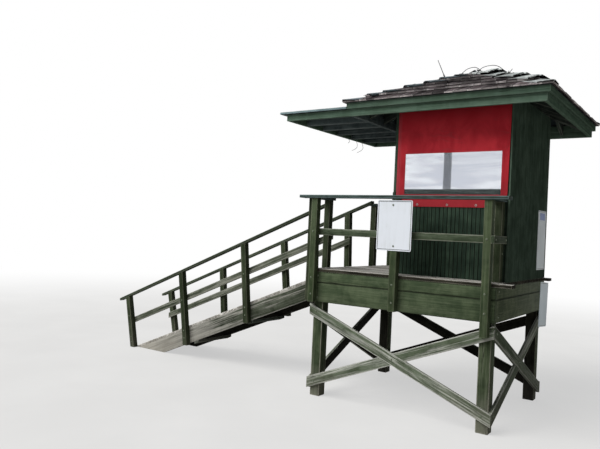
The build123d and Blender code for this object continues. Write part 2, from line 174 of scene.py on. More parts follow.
# the sky is white to the eye and lights the scene from one side
world = bpy.data.worlds.new("paleSky")
bpy.context.scene.world = world
world.use_nodes = True
tree = world.node_tree
tree.nodes.clear()
white = (1.0, 1.0, 1.0, 1.0)
inputs = {0: addNode(tree, "TexCoord").outputs["Generated"], 1: lightSetup["skySide"]}
side = addNode(tree, "VectorMath", inputs, operation="DOT_PRODUCT").outputs["Value"]
strength = band(side, -0.8, 0.8, 0.0, lightSetup["sky"] * 2, "LINEAR")
skyLight = addNode(tree, "Background", {"Color": (0.93, 0.96, 1.0, 1.0), "Strength": strength}).outputs[0]
skyShown = addNode(tree, "Background", {"Color": white, "Strength": 1.0}).outputs[0]
skyMix = addNode(tree, "MixShader", {0: seenRays(tree), 1: skyLight, 2: skyShown}).outputs[0]
addNode(tree, "OutputWorld", {"Surface": skyMix})


# effects that several finishes share
print("shared effects")


def makeGroup(name, vectors, floats, build):
    tree = bpy.data.node_groups.new(name, "ShaderNodeTree")
    for label in vectors + floats:
        kind = "NodeSocketVector" if label in vectors else "NodeSocketFloat"
        tree.interface.new_socket(name=label, in_out="INPUT", socket_type=kind)
    results = build(tree.nodes.new("NodeGroupInput").outputs)
    for label in results:
        tree.interface.new_socket(name=label, in_out="OUTPUT", socket_type="NodeSocketFloat")
    out = tree.nodes.new("NodeGroupOutput").inputs
    for label, value in results.items():
        feed(out[label], value)


def useGroup(name, **inputs):
    made = treeOf(*inputs.values()).nodes.new("ShaderNodeGroup")
    made.node_tree = bpy.data.node_groups[name]
    for key, value in inputs.items():
        feed(made.inputs[key], value)
    return made.outputs


def grainNodes(given):
    # grain of a sawn board: u runs along it and v across, in metres
    place = given["Place"]
    broad = noise(place, (0.8, 13.0, 13.0), 4.0, 0.6, 0.9)
    rings = noise(place, (0.55, 46.0, 46.0), 3.0, 0.55, 1.2)
    fibre = noise(place, (5.0, 300.0, 300.0), 2.0, 0.6)
    split = noise(place, (0.5, 21.0, 21.0), 2.0, 0.5, 0.4, (7.0, 3.0, 0.0))
    thin = band(calc("ABSOLUTE", minus(split, 0.5)), 0.004, 0.016, 1.0, 0.0)
    where = band(noise(place, (0.9, 4.0, 4.0), 2.0, shift=(2.0, 9.0, 0.0)), 0.52, 0.62)
    mixed = scaled(broad, 0.45, scaled(rings, 0.38, times(fibre, 0.17)))
    return {"Grain": mixed, "Fibre": fibre, "Crack": times(thin, where)}


def wearNodes(given):
    # where paint has gone: first at the arrises, then along the raised grain, in patches
    reach = parts(given["Reach"])
    near = calc("MINIMUM", calc("MINIMUM", reach[0], reach[1]), calc("MINIMUM", reach[2], given["ReachLast"]))
    ragged = noise(given["Place"], (7.0, 40.0, 40.0), 4.0, 0.65)
    arris = band(minus(near, times(ragged, 0.022)), -0.010, 0.000, 1.0, 0.0)
    patches = noise(given["Place"], (1.0, 16.0, 16.0), 5.0, 0.66, 0.6, (4.0, 1.0, 0.0))
    spent = scaled(patches, 0.58, scaled(given["Grain"], 0.42, times(arris, 0.17)))
    low = minus(0.86, times(given["Amount"], 0.62))
    return {"Worn": band(spent, low, plus(low, 0.11)), "Arris": arris}


def weatherNodes(given):
    # blotches, streaks that run down, and pale dust near the ground, in object metres
    position = given["Position"]
    low = minus(parts(position)[2], times(noise(position, 6.0, 5.0), 0.5))
    return {"Blotch": noise(position, 4.5, 6.0, 0.62, 0.3), "Streak": noise(position, (17.0, 17.0, 1.3), 4.0, 0.6),
            "Dust": band(low, groundLevel - 0.30, groundLevel + 0.30, 1.0, 0.0)}


def scrimNodes(given):
    # the scrim inside reinforced vinyl, two crossed sets of threads, and the creases left where it was folded
    place = given["Place"]
    turn = calc("DIVIDE", 6.2832, given["Pitch"])
    across, down = (calc("SINE", times(way, turn)) for way in parts(place)[:2])
    folds = noise(place, (1.6, 5.5, 1.0), 2.0, 0.5, 0.9, (3.0, 1.0, 0.0), 0.22)
    line = band(calc("ABSOLUTE", minus(folds, 0.5)), 0.0, 0.020, 1.0, 0.0)
    kept = band(noise(place, (2.0, 3.0, 1.0), 2.0, shift=(8.0, 5.0, 0.0)), 0.46, 0.60)
    return {"Thread": calc("MAXIMUM", across, down), "Cloud": noise(place, (4.5, 2.4, 1.5), 5.0, 0.6, 0.5),
            "Crease": times(line, kept)}


makeGroup("woodGrain", ["Place"], [], grainNodes)
makeGroup("paintWear", ["Place", "Reach"], ["ReachLast", "Grain", "Amount"], wearNodes)
makeGroup("weather", ["Position"], [], weatherNodes)
makeGroup("scrimWeave", ["Place"], ["Pitch"], scrimNodes)


def startMaterial(name):
    material = bpy.data.materials.new(name)
    material.use_nodes = True
    tree = material.node_tree
    tree.nodes.clear()
    shader = addNode(tree, "BsdfPrincipled")
    out = addNode(tree, "OutputMaterial", {"Surface": shader.outputs[0]})
    return tree, shader, out


def setShader(shader, colour, roughness, height, bump, depth, shine=0.5):
    # bump is its strength, depth its height in metres and shine the shader's specular level
    feed(shader.inputs["Base Color"], colour)
    feed(shader.inputs["Roughness"], roughness)
    inputs = {"Height": height, "Strength": bump, "Distance": depth}
    feed(shader.inputs["Normal"], addNode(shader.id_data, "Bump", inputs).outputs[0])
    shader.inputs["Specular IOR Level"].default_value = shine


def objectPlace(tree):
    return addNode(tree, "TexCoord").outputs["Object"]


def paintedWood(name, paint, deep, bare, wear, dust=0.25, gloss=0.55, pale=0.35, bump=0.5, arris=None,
                spread=(0.86, 1.12), runs=0.93, footWear=0.0, dim=None, shine=0.02):
    tree, shader, out = startMaterial(name)
    bare = tint(*bare)
    # what every sawn piece carries: its grain map, the distance to its arrises and its own tone
    grainMap = addNode(tree, "UVMap", uv_map="grain").outputs[0]
    reach = addNode(tree, "Attribute", attribute_name="reach").outputs
    tone = addNode(tree, "Attribute", attribute_name="tone").outputs["Fac"]
    position = objectPlace(tree)
    height = parts(position)[2]
    grain = useGroup("woodGrain", Place=grainMap)
    weather = useGroup("weather", Position=position)
    amount = scaled(tone, 0.18, wear - 0.09)
    if footWear:
        amount = plus(amount, band(height, groundLevel, groundLevel + 1.3, footWear, 0.0))
    worn = useGroup("paintWear", Place=grainMap, Reach=reach["Color"], ReachLast=reach["Alpha"],
                    Grain=grain["Grain"], Amount=amount)
    coat = blend(band(weather["Blotch"], 0.36, 0.66), tint(*deep), tint(*paint))
    coat = blend(times(band(grain["Grain"], 0.44, 0.66), 0.22), coat, bare)
    wood = blend(band(grain["Grain"], 0.38, 0.62), darker(bare, 0.55), bare)
    colour = blend(worn["Worn"], coat, wood)
    colour = blend(times(worn["Arris"], pale), colour, tint(*arris) if arris else bare)
    shade = times(band(tone, 0.0, 1.0, *spread), band(weather["Streak"], 0.3, 0.62, runs, 1.04))
    shade = times(shade, band(grain["Grain"], 0.36, 0.62, 0.86, 1.12))
    shade = times(shade, band(grain["Fibre"], 0.3, 0.7, 0.84, 1.12))
    shade = times(shade, minus(1.0, times(grain["Crack"], 0.6)))
    if dim:
        # low and high over the deck, and what is left of the light tone up there
        shade = times(shade, band(height, deckCorner.z + dim[0], deckCorner.z + dim[1], 1.0, dim[2]))
    colour = blend(1.0, colour, addNode(tree, "CombineColor", {0: shade, 1: shade, 2: shade}).outputs[0], "MULTIPLY")
    colour = blend(times(weather["Dust"], dust), colour, tint(176, 170, 158))
    roughness = scaled(worn["Worn"], 0.9 - gloss, scaled(grain["Fibre"], 0.08, gloss))
    relief = scaled(grain["Grain"], 0.8, times(grain["Fibre"], 0.35))
    relief = minus(relief, scaled(grain["Crack"], 0.9, times(worn["Worn"], 0.25)))
    setShader(shader, colour, roughness, relief, bump, 0.004, shine)


print("finishes")
# the shakes are darker in the upper courses than at the eaves
upperCourses = (2.24, 2.40, 0.55)
dry = dict(dust=0.0, gloss=0.85, pale=0.3, bump=0.9)
# the skirts' arrises are darkened: painted shade in the grooves between their boards
skirtArrisShade = (36, 42, 30)
# each wood: its paint, the paint in its deeper patches, the bare wood, and the share that has worn off
woods = {
    "postPaint": ((66, 77, 54), (48, 58, 40), (98, 102, 84), 0.26, dict()),
    "rampPostPaint": ((58, 66, 48), (42, 50, 34), (104, 104, 90), 0.34, dict(dust=0.1)),
    "capPaint": ((50, 62, 54), (36, 46, 39), (92, 107, 108), 0.24, dict(gloss=0.5, pale=0.75)),
    "handrailPaint": ((56, 66, 51), (40, 49, 37), (100, 104, 90), 0.30, dict(gloss=0.6, pale=0.6)),
    "skirtPaint": ((78, 89, 66), (58, 70, 50), (108, 110, 92), 0.34, dict(pale=0.8, arris=skirtArrisShade)),
    # a lighter copy of the skirt paint for the side skirts: painted light from the ground
    "sideSkirtPaint": ((94, 103, 80), (72, 82, 62), (126, 128, 110), 0.36, dict(pale=0.8, arris=skirtArrisShade)),
    "bracePaint": ((88, 97, 79), (60, 69, 51), (160, 161, 152), 0.605, dict(dust=0.15, pale=0.5)),
    "legPaint": ((66, 76, 55), (46, 56, 38), (126, 126, 112), 0.46, dict(dust=0.25)),
    "rampPaint": ((78, 84, 70), (52, 58, 45), (160, 158, 149), 0.60, dict(dust=0.4, pale=0.5, footWear=0.35)),
    "rampRailPaint": ((74, 80, 66), (52, 58, 46), (126, 127, 116), 0.55, dict(dust=0.1, pale=0.5)),
    "railPaint": ((70, 80, 62), (50, 60, 44), (118, 122, 108), 0.46, dict(pale=0.7)),
    "fasciaPaint": ((82, 102, 87), (72, 91, 76), (106, 122, 110), 0.16, dict(dust=0.0, shine=0.0)),
    "frameWood": ((66, 74, 68), (46, 53, 49), (96, 100, 92), 0.34, dict(dust=0.3, pale=0.8, shine=0.0)),
    "awningJoistPaint": ((81, 92, 93), (59, 68, 69), (114, 121, 121), 0.34, dict(dust=0.0, pale=0.8, shine=0.0)),
    # painted shade for the faces that look in under the deck and under the ramp
    "innerWood": ((38, 38, 32), (24, 24, 20), (62, 60, 52), 0.30, dict(dust=0.1)),
    # dark wood for what is seen from below under the roofs: painted shade
    "soffitWood": ((44, 51, 54), (33, 38, 40), (68, 74, 75), 0.25, dict(dust=0.0)),
    "sidingPaint": ((53, 70, 57), (40, 54, 45), (74, 86, 70), 0.18, dict(dust=0.0, gloss=0.5, pale=0.2, runs=0.8)),
    # a copy of the siding paint for the right wall, lighter and without shine, its colour set for the light on that
    # side: painted light
    "sidingShade": ((74, 90, 78), (58, 73, 62), (94, 106, 92), 0.16,
                    dict(dust=0.0, gloss=0.7, pale=0.2, runs=0.75, shine=0.0)),
    # painted shade in the siding's grooves
    "grooveDirt": ((22, 27, 22), (15, 19, 16), (40, 44, 36), 0.2, dict(dust=0.0)),
    "deckWood": ((160, 157, 149), (116, 112, 104), (198, 195, 188), 0.6, dict(dust=0.3, gloss=0.8, pale=0.5)),
    "deckEdge": ((42, 40, 32), (26, 25, 20), (98, 94, 84), 0.34, dict(gloss=0.8, pale=0.12)),
    "shakeWood": ((82, 72, 73), (36, 31, 32), (154, 146, 147), 0.44, dict(dry, spread=(0.3, 1.2), dim=upperCourses)),
    "shakeButt": ((192, 184, 182), (122, 115, 115), (216, 210, 208), 0.5,
                  dict(dry, spread=(0.35, 1.15), dim=upperCourses)),
    "capShakeWood": ((108, 119, 123), (68, 77, 80), (146, 155, 159), 0.5, dict(dry, gloss=0.8, spread=(0.6, 1.15))),
    # a pale copy of the cap wood for the front right hip: painted light of the sky on its tops
    "bleachedWood": ((188, 192, 189), (144, 149, 147), (210, 213, 211), 0.5, dict(dry, pale=0.2, bump=0.6)),
    # painted shade for the butts and undersides of the cap boards
    "capButt": ((46, 44, 44), (28, 27, 28), (88, 84, 84), 0.3, dict(dry, pale=0.2, bump=0.5)),
    "awningEdge": ((116, 138, 140), (97, 118, 119), (150, 168, 170), 0.2, dict(dust=0.0, pale=0.7)),
}
for name, (paint, deep, bare, wear, more) in woods.items():
    paintedWood(name, paint, deep, bare, wear, **more)


def vinyl(name, colour, faded, dark, roughness):
    # u and v are the cloth's own metres, and low is a ragged height on it
    tree, shader, out = startMaterial(name)
    colour, faded, dark = tint(*colour), tint(*faded), tint(*dark)
    place = addNode(tree, "UVMap", uv_map="cloth").outputs[0]
    across, down = parts(place)[:2]
    weave = useGroup("scrimWeave", Place=place, Pitch=0.0024)
    weather = useGroup("weather", Position=objectPlace(tree))
    low = scaled(weave["Cloud"], 0.35, down)
    base = blend(band(weave["Cloud"], 0.35, 0.68), dark, colour)
    layers = [
        (band(low, 1.05, 1.45, 0.62, 0.0), faded),
        (times(band(weather["Streak"], 0.55, 0.75), 0.10), dark),
        (times(weave["Crease"], 0.30), faded),
        (band(low, 1.48, 1.82, 0.5, 0.0), darker(dark, 0.62)),
        (band(across, 1.026, 1.060, 0.22, 0.0), tint(172, 92, 100)),
        (band(low, 1.98, 2.42, 0.0, 0.95), darker(dark, 0.45)),  # under the eave it is darkened: painted shade of the eave
    ]
    for share, layer in layers:
        base = blend(share, base, layer)
    height = scaled(weave["Thread"], 0.12, scaled(weave["Crease"], 0.35, times(weave["Cloud"], 0.9)))
    setShader(shader, base, scaled(weave["Cloud"], 0.2, roughness), height, 0.5, 0.005, 0.12)


def clearSheet(name, foot):
    # grime lies along the foot of the pane, at this height
    tree, shader, out = startMaterial(name)
    place = addNode(tree, "UVMap", uv_map="cloth").outputs[0]
    weave = useGroup("scrimWeave", Place=place, Pitch=0.05)
    scratch = noise(place, (3.0, 90.0, 1.0), 3.0, 0.6, turn=0.35)
    waves = noise(place, (1.1, 7.5, 1.0), 3.0, 0.55, 0.5, (2.0, 5.0, 0.0), 0.06)
    clean = blend(band(waves, 0.36, 0.66), tint(209, 213, 222), tint(236, 239, 245))
    grime = blend(band(scratch, 0.42, 0.60), tint(104, 116, 114), tint(152, 162, 162))
    height = scaled(weave["Cloud"], 0.02, parts(place)[1])
    base = blend(band(height, foot + 0.065, foot + 0.085, 1.0, 0.0), clean, grime)
    roughness = scaled(band(scratch, 0.5, 0.8), 0.15, 0.08)
    setShader(shader, base, roughness, weave["Cloud"], 0.3, 0.004)
    shader.inputs["Transmission Weight"].default_value = 0.80
    shader.inputs["IOR"].default_value = 1.12


def enamel(name, colour, grimy):
    tree, shader, out = startMaterial(name)
    position = objectPlace(tree)
    weather = useGroup("weather", Position=position)
    fine = noise(position, 60.0, 4.0)
    grime = times(band(weather["Streak"], 0.46, 0.72), band(weather["Blotch"], 0.36, 0.66))
    base = blend(scaled(fine, 0.08, times(grime, 0.45)), tint(*colour), tint(*grimy))
    setShader(shader, base, scaled(weather["Blotch"], 0.25, 0.28), fine, 0.12, 0.001, 0.3)


def metal(name, colour, rust, share):
    tree, shader, out = startMaterial(name)
    spots = noise(objectPlace(tree), 45.0, 5.0, 0.65)
    low, high = 0.62 - share, 0.72 - share
    base = blend(band(spots, low, high), tint(*colour), tint(*rust))
    feed(shader.inputs["Metallic"], band(spots, low, high, 0.85, 0.1))
    setShader(shader, base, band(spots, 0.3, 0.7, 0.42, 0.8), spots, 0.3, 0.001)


def feltRoofing(name):
    tree, shader, out = startMaterial(name)
    position = objectPlace(tree)
    blotch = useGroup("weather", Position=position)["Blotch"]
    grit = addNode(tree, "TexVoronoi", {"Vector": position, "Scale": 420.0}).outputs["Color"]
    grit = addNode(tree, "SeparateColor", {0: grit}).outputs[0]
    base = blend(band(blotch, 0.35, 0.65), tint(84, 88, 84), tint(112, 114, 108))
    base = blend(times(grit, 0.45), base, tint(150, 150, 144))
    setShader(shader, base, band(blotch, 0.3, 0.7, 0.85, 0.97), grit, 0.4, 0.0015, 0.05)


vinyl("curtainVinyl", (194, 45, 55), (140, 53, 58), (166, 27, 39), 0.45)
vinyl("threadRed", (120, 40, 44), (140, 70, 72), (100, 24, 30), 0.7)
clearSheet("clearVinyl", 1.010)
enamel("signWhite", (214, 218, 224), (180, 182, 180))
enamel("signShaded", (186, 196, 200), (150, 158, 160))
enamel("signPale", (198, 214, 222), (166, 178, 182))
enamel("signLine", (48, 52, 54), (84, 86, 86))
enamel("signBlue", (34, 76, 148), (66, 96, 142))
metal("dullMetal", (168, 170, 166), (112, 92, 74), 0.06)
metal("nailMetal", (88, 84, 78), (78, 60, 48), 0.10)
metal("boltPaint", (104, 112, 96), (96, 84, 66), 0.04)
metal("darkRod", (58, 58, 60), (52, 42, 38), 0.05)
feltRoofing("roofFelt")


# handling pieces
handling = {"weld": 0.00002, "flat": 0.5, "endGrain": 14.0}


def onlySelect(*pieces):
    if bpy.context.object and bpy.context.object.mode != "OBJECT":
        bpy.ops.object.mode_set(mode="OBJECT")
    bpy.ops.object.select_all(action="DESELECT")
    for piece in pieces:
        piece.select_set(True)
    bpy.context.view_layer.objects.active = pieces[0]


def pickFaces(piece, test):
    # a test takes a face's centre and normal
    bpy.ops.mesh.select_all(action="DESELECT")
    shape = bmesh.from_edit_mesh(piece.data)
    for face in shape.faces:
        if test(face.calc_center_median(), face.normal):
            face.select_set(True)
    bmesh.update_edit_mesh(piece.data)


@contextmanager
def editing(piece, test=None):
    # edit mode, with every face picked or those that pass the test
    onlySelect(piece)
    bpy.ops.object.mode_set(mode="EDIT")
    bpy.ops.mesh.select_mode(type="FACE")
    bpy.ops.mesh.select_all(action="SELECT")
    if test:
        pickFaces(piece, test)
    yield
    bpy.ops.object.mode_set(mode="OBJECT")


def scoreAll(place, way):
    # a cut across every face, with nothing taken away
    bpy.ops.mesh.select_all(action="SELECT")
    bpy.ops.mesh.bisect(plane_co=place, plane_no=way)


def facing(way, least=0.9):
    return lambda centre, normal: normal.dot(way) > least


def pushFaces(move, widen=1.0):
    # draws the picked faces out by a move and widens or narrows their end
    bpy.ops.mesh.extrude_region_move(TRANSFORM_OT_translate={"value": tuple(move)})
    if widen != 1.0:
        bpy.ops.transform.resize(value=(widen, widen, widen))


def newShape(name, operator, scale=(1, 1, 1), **settings):
    # what the operator adds, left with its object at the origin and its place in its mesh
    bpy.ops.object.select_all(action="DESELECT")
    operator(**settings)
    piece = bpy.context.object
    piece.name = name
    piece.scale = scale
    onlySelect(piece)
    bpy.ops.object.transform_apply(location=True, rotation=True, scale=True)
    return piece


def joinPieces(name, members):
    onlySelect(*members)
    if len(members) > 1:
        bpy.ops.object.join()
    joined = bpy.context.view_layer.objects.active
    joined.name = joined.data.name = name
    return joined


def stampAll(name, source, places):
    # joined copies of a small piece, one for each matrix
    members = [newPiece(source.name, source.data.copy()) for place in places]
    for member, place in zip(members, places):
        member.data.transform(place)
    return joinPieces(name, members)


def copyNodes(name, *nodes):
    # a merged copy of the CAD meshes, with whole faces in place of triangles
    piece = joinPieces(name, [newPiece(name, cadNodes[node].data.copy()) for node in nodes])
    piece.data.materials.clear()
    with editing(piece):
        bpy.ops.mesh.remove_doubles(threshold=handling["weld"])
        bpy.ops.mesh.dissolve_limited(angle_limit=math.radians(handling["flat"]))
    onlySelect(piece)
    bpy.ops.mesh.customdata_custom_splitnormals_clear()
    return piece


def smoothShade(piece, degrees):
    onlySelect(piece)
    bpy.ops.object.shade_smooth_by_angle(angle=math.radians(degrees))


def modify(piece, kind, **settings):
    modifier = piece.modifiers.new(kind.lower(), kind)
    for key, value in settings.items():
        setattr(modifier, key, value)
    onlySelect(piece)
    bpy.ops.object.modifier_apply(modifier=modifier.name)


def roundArrises(piece, width, segments=2):
    modify(piece, "BEVEL", width=width, segments=segments, limit_method="ANGLE", angle_limit=math.radians(30))
    smoothShade(piece, 35)


def looseParts(shape):
    # the corners of each loose part, in the order that the mesh holds them
    found, met = [], set()
    for first in shape.verts:
        if first in met:
            continue
        met.add(first)
        part, heap = [first], [first]
        while heap:
            for edge in heap.pop().link_edges:
                for corner in edge.verts:
                    if corner not in met:
                        met.add(corner)
                        part.append(corner)
                        heap.append(corner)
        found.append(part)
    return found


def cadParts(node):
    # the corners of each timber in a CAD node, as lists of places
    shape = bmesh.new()
    shape.from_mesh(node.data)
    bmesh.ops.remove_doubles(shape, verts=shape.verts, dist=handling["weld"])
    found = [[corner.co.copy() for corner in part] for part in looseParts(shape)]
    shape.free()
    return found


def mapBoards(piece, seed, along=None, wholeBoards=False):
    # writes the grain map, the distance to the arrises and a tone on each loose board
    chance = random.Random(seed)
    shape = bmesh.new()
    shape.from_mesh(piece.data)
    for layer in list(shape.loops.layers.uv):
        shape.loops.layers.uv.remove(layer)
    grain = shape.loops.layers.uv.new("grain")
    reach = shape.loops.layers.float_color.new("reach")
    tone = shape.faces.layers.float.new("tone")
    for board in looseParts(shape):
        edges = {edge for corner in board for edge in corner.link_edges}
        longest = max(edges, key=lambda edge: (round(edge.calc_length(), 4), -edge.index))
        run = (along or longest.verts[1].co - longest.verts[0].co).normalized()
        shift = Vector((chance.uniform(0, 40), chance.uniform(0, 20)))
        boardTone = chance.random()
        for face in {face for corner in board for face in corner.link_faces}:
            face[tone] = boardTone
            endGrain = abs(face.normal.dot(run)) > 0.75
            first = run.orthogonal().normalized() if endGrain else run
            first = (first - face.normal * first.dot(face.normal)).normalized()
            second = face.normal.cross(first)
            flat = [(corner.co.dot(first), corner.co.dot(second)) for corner in (board if wholeBoards else face.verts)]
            (lowU, lowV), (highU, highV) = (tuple(map(limit, *flat)) for limit in (min, max))
            for loop in face.loops:
                u, v = loop.vert.co.dot(first), loop.vert.co.dot(second)
                loop[grain].uv = shift + Vector((u * (handling["endGrain"] if endGrain else 1.0), v))
                loop[reach] = (u - lowU, v - lowV, highU - u, highV - v)
    shape.to_mesh(piece.data)
    shape.free()


def markFaces(piece, test):
    # the second finish goes where the test of a face's centre and normal holds
    for face in piece.data.polygons:
        face.material_index = 1 if test(face.center, face.normal) else 0


def finishPiece(piece, finishes, slotName, *replaced):
    for name in finishes.split():
        piece.data.materials.append(bpy.data.materials[name])
    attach(piece, "root")
    if replaced:
        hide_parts(*replaced)
    return piece


# posts, rails, skirts, braces and the rest of the framing
print("lumber")

# the faces that look in under the deck and under the ramp take a dark wood: painted shade under the tower and the ramp
shadedFaces = {
    "legTimbers": lambda spot, normal: spot.y > 1.0 and normal.y < -0.5,
    "backBraces": facing(-backward, 0.5),
    "sideBraces": lambda spot, normal: normal.x * (1 if spot.x < 1.2 else -1) > 0.5,
    "frontBraces": facing(backward, 0.5),
    "rampStringers": lambda spot, normal: normal.y * (-1 if spot.y > 1.0 else 1) > 0.5 or normal.z < -0.6,
}
# each piece, the node it stands for, its finish, and how its arrises are rounded in millimetres, which is less where
# the timber was never painted
lumber = [
    ("legTimbers", "legs", "legPaint", 5),
    ("frontPosts", "front_rail_posts", "postPaint", 4),
    ("sidePosts", "side_rail_posts", "rampPostPaint", 4),
    ("backPosts", "back_rail_posts", "postPaint", 4),
    ("midRails", "mid_rails", "railPaint", 3),
    ("frontCap", "front_cap", "capPaint", 4),
    ("sideCaps", "side_caps", "capPaint", 4),
    ("backCap", "back_cap", "capPaint", 4),
    ("frontSkirt", "skirt_front", "skirtPaint", 3),
    ("sideSkirts", "skirt_sides", "sideSkirtPaint", 3),
    ("backSkirt", "skirt_back", "skirtPaint", 3),
    ("frontBraces", "braces_front", "bracePaint", 3),
    ("sideBraces", "braces_sides", "bracePaint", 3),
    ("backBraces", "braces_back", "bracePaint", 3),
    ("rampStringers", "ramp_stringers", "rampPaint", 3),
    ("rampPosts", "ramp_posts", "rampPostPaint", 4),
    ("rampHandrails", "ramp_handrails", "handrailPaint", 4),
    ("rampMidRails", "ramp_mid_rails", "rampRailPaint", 3),
    ("rampBearers", "ramp_bearers", "frameWood", 3),
    ("hutPosts", "hut_posts", "sidingPaint", 3),
    ("hutSills", "hut_sills", "sidingPaint", 3),
    ("hutPlates", "hut_plates", "frameWood", 2),
    ("hutStuds", "hut_studs", "frameWood", 2),
    ("roofRafters", "rafters", "frameWood", 2),
    ("hipRafters", "hip_frame", "frameWood", 2),
    ("awningJoists", "awning_frame", "awningJoistPaint", 2),
    ("deckJoists", "deck_joists", "frameWood", 2),
    ("fasciaLower", "fascia_boards", "fasciaPaint", 3),
    ("fasciaUpper", "fascia_upper", "fasciaPaint", 3),
    ("fasciaTrim", "fascia_trim", "fasciaPaint", 3),
]
for number, (name, node, finish, arris) in enumerate(lumber):
    piece = copyNodes(name, node)
    roundArrises(piece, arris / 1000)
    mapBoards(piece, 10 + number)
    # the faces in under the deck and the ramp take the dark wood, painted shade
    if name in shadedFaces:
        markFaces(piece, lambda centre, normal: shadedFaces[name](centre - deckCorner, normal))
        finish += " innerWood"
    finishPiece(piece, finish, "painted_lumber" if arris > 2 else "raw_lumber", node)


# boards cut from a slab: deck and ramp
print("boards")
deckBoards = {"pitch": 0.1423, "gap": 0.005}
rampBoards = {"pitch": 0.1450, "gap": 0.005, "slope": 0.4112}
boardSetup = {"arris": 0.0035, "sunk": 0.0015, "shortest": 0.03, "trim": 0.2}


def cutOff(piece, place, way, inner=False):
    # takes away what lies beyond a plane, or inside it, and closes the cut
    with editing(piece):
        bpy.ops.mesh.bisect(plane_co=place, plane_no=way, use_fill=True, clear_inner=inner, clear_outer=not inner)


def keepBetween(piece, start, end, direction):
    cutOff(piece, direction * start, direction, inner=True)
    cutOff(piece, direction * end, direction)


def sliceSlab(name, node, direction, setup, seed):
    chance = random.Random(seed)
    with editing(copyNodes(name + "Slab", node)):
        bpy.ops.mesh.separate(type="LOOSE")
    boards = []
    for slab in [piece for piece in bpy.data.objects if piece.name.startswith(name + "Slab")]:
        reach = [corner.co.dot(direction) for corner in slab.data.vertices]
        if max(reach) - min(reach) < boardSetup["trim"]:
            boards.append(slab)
            continue
        start = min(reach)
        while start < max(reach) - boardSetup["shortest"]:
            board = newPiece(name + "Board", slab.data.copy())
            keepBetween(board, start, start + setup["pitch"] - setup["gap"], direction)
            if len(board.data.vertices):
                lowest = min(corner.co.z for corner in board.data.vertices)
                sunk = min(chance.uniform(0, boardSetup["sunk"]), lowest - groundLevel)
                board.data.transform(Matrix.Translation((0, 0, -sunk)))
                boards.append(board)
            start += setup["pitch"]
        bpy.data.objects.remove(slab)
    piece = joinPieces(name, boards)
    roundArrises(piece, boardSetup["arris"])
    return piece


deckFloor = sliceSlab("deckFloorBoards", "deck_floor", backward, deckBoards, 3)
mapBoards(deckFloor, 61, rightward)
markFaces(deckFloor, lambda centre, normal: abs(normal.z) < 0.85)
finishPiece(deckFloor, "deckWood deckEdge", "deck_boards", "deck_floor")
rampRun = Vector((1, 0, rampBoards["slope"])).normalized()
rampFloor = sliceSlab("rampFloorBoards", "ramp_floor", rampRun, rampBoards, 4)
mapBoards(rampFloor, 62, backward)
finishPiece(rampFloor, "deckWood", "deck_boards", "ramp_floor")

# two nails where each board crosses what carries it, and one in a narrow board
nailSetup = {"head": 0.0048, "thick": 0.0012, "rim": 0.0014, "dome": 0.0004, "inset": 0.038, "wander": 0.005,
             "narrow": 0.10, "margin": 0.01}
nail = newShape("nail", bpy.ops.mesh.primitive_cylinder_add, vertices=8, radius=nailSetup["head"],
                depth=nailSetup["thick"])
with editing(nail, facing(upward)):
    bpy.ops.mesh.inset(thickness=nailSetup["rim"])
    bpy.ops.transform.translate(value=(0, 0, nailSetup["dome"]))


def reachOf(places, direction):
    dots = [place.dot(direction) for place in places]
    return min(dots), max(dots)


def nailBoards(name, piece, run, along, carriers, seed):
    # run crosses the boards, along follows them, and each carrier is a place on along
    chance = random.Random(seed)
    up = run.cross(along)
    up = up if up.z > 0 else -up
    spots = []
    for board in cadParts(piece):
        (low, high), (first, last) = reachOf(board, run), reachOf(board, along)
        top = reachOf(board, up)[1]
        wide = high - low > nailSetup["narrow"]
        rows = (low + nailSetup["inset"], high - nailSetup["inset"]) if wide else ((low + high) / 2,)
        for carrier in carriers:
            for row in rows if first + nailSetup["margin"] < carrier < last - nailSetup["margin"] else ():
                spot = run * (row + chance.uniform(-1, 1) * nailSetup["wander"])
                spot += along * (carrier + chance.uniform(-1, 1) * nailSetup["wander"]) + up * top
                turn = Matrix.Rotation(chance.uniform(0, 0.7), 4, "Z")
                spots.append(frameOf(run, up.cross(run), up, spot) @ turn)
    finishPiece(stampAll(name, nail, spots), "nailMetal", "deck_boards")


# the boards are nailed to the joists that run under them from front to back
joists = [reachOf(part, rightward) for part in cadParts(cadNodes["deck_joists"])]
joists = sorted((low + high) / 2 for low, high in joists if high - low < 0.1)
nailBoards("deckNails", deckFloor, backward, rightward, joists, 63)
stringers = sorted(sum(reachOf(part, backward)) / 2 for part in cadParts(cadNodes["ramp_stringers"]))
nailBoards("rampNails", rampFloor, rampRun, backward, stringers, 64)
bpy.data.objects.remove(nail)


# grooved siding
print("siding")
siding = {"pitch": 0.0508, "first": 0.03048, "margin": 0.02, "groove": 0.010, "depth": 0.006}


def grooveWall(name, node, across, outward, seed, paint):
    piece = copyNodes(name, node)
    low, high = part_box(node)
    direction = (rightward, backward)[across]
    grooves = [low[across] + siding["first"]]
    while grooves[-1] + siding["pitch"] < high[across] - siding["margin"]:
        grooves.append(grooves[-1] + siding["pitch"])

    def inGroove(centre, normal):
        return normal.dot(outward) > 0.9 and any(0 < centre[across] - place < siding["groove"] for place in grooves)

    with editing(piece):
        for place in grooves:
            for side in (place, place + siding["groove"]):
                scoreAll(direction * side, direction)
        pickFaces(piece, inGroove)
        pushFaces(outward * -siding["depth"])
    mapBoards(piece, seed, upward)
    # the grooves take the second finish, painted shade
    markFaces(piece, inGroove)
    finishPiece(piece, paint + " grooveDirt", "green_siding", node)


grooveWall("sidingFront", "hut_wall_front", 0, -backward, 71, "sidingPaint")
grooveWall("sidingBack", "hut_wall_back", 0, backward, 72, "sidingPaint")
grooveWall("sidingRight", "hut_wall_right", 1, rightward, 73, "sidingShade")


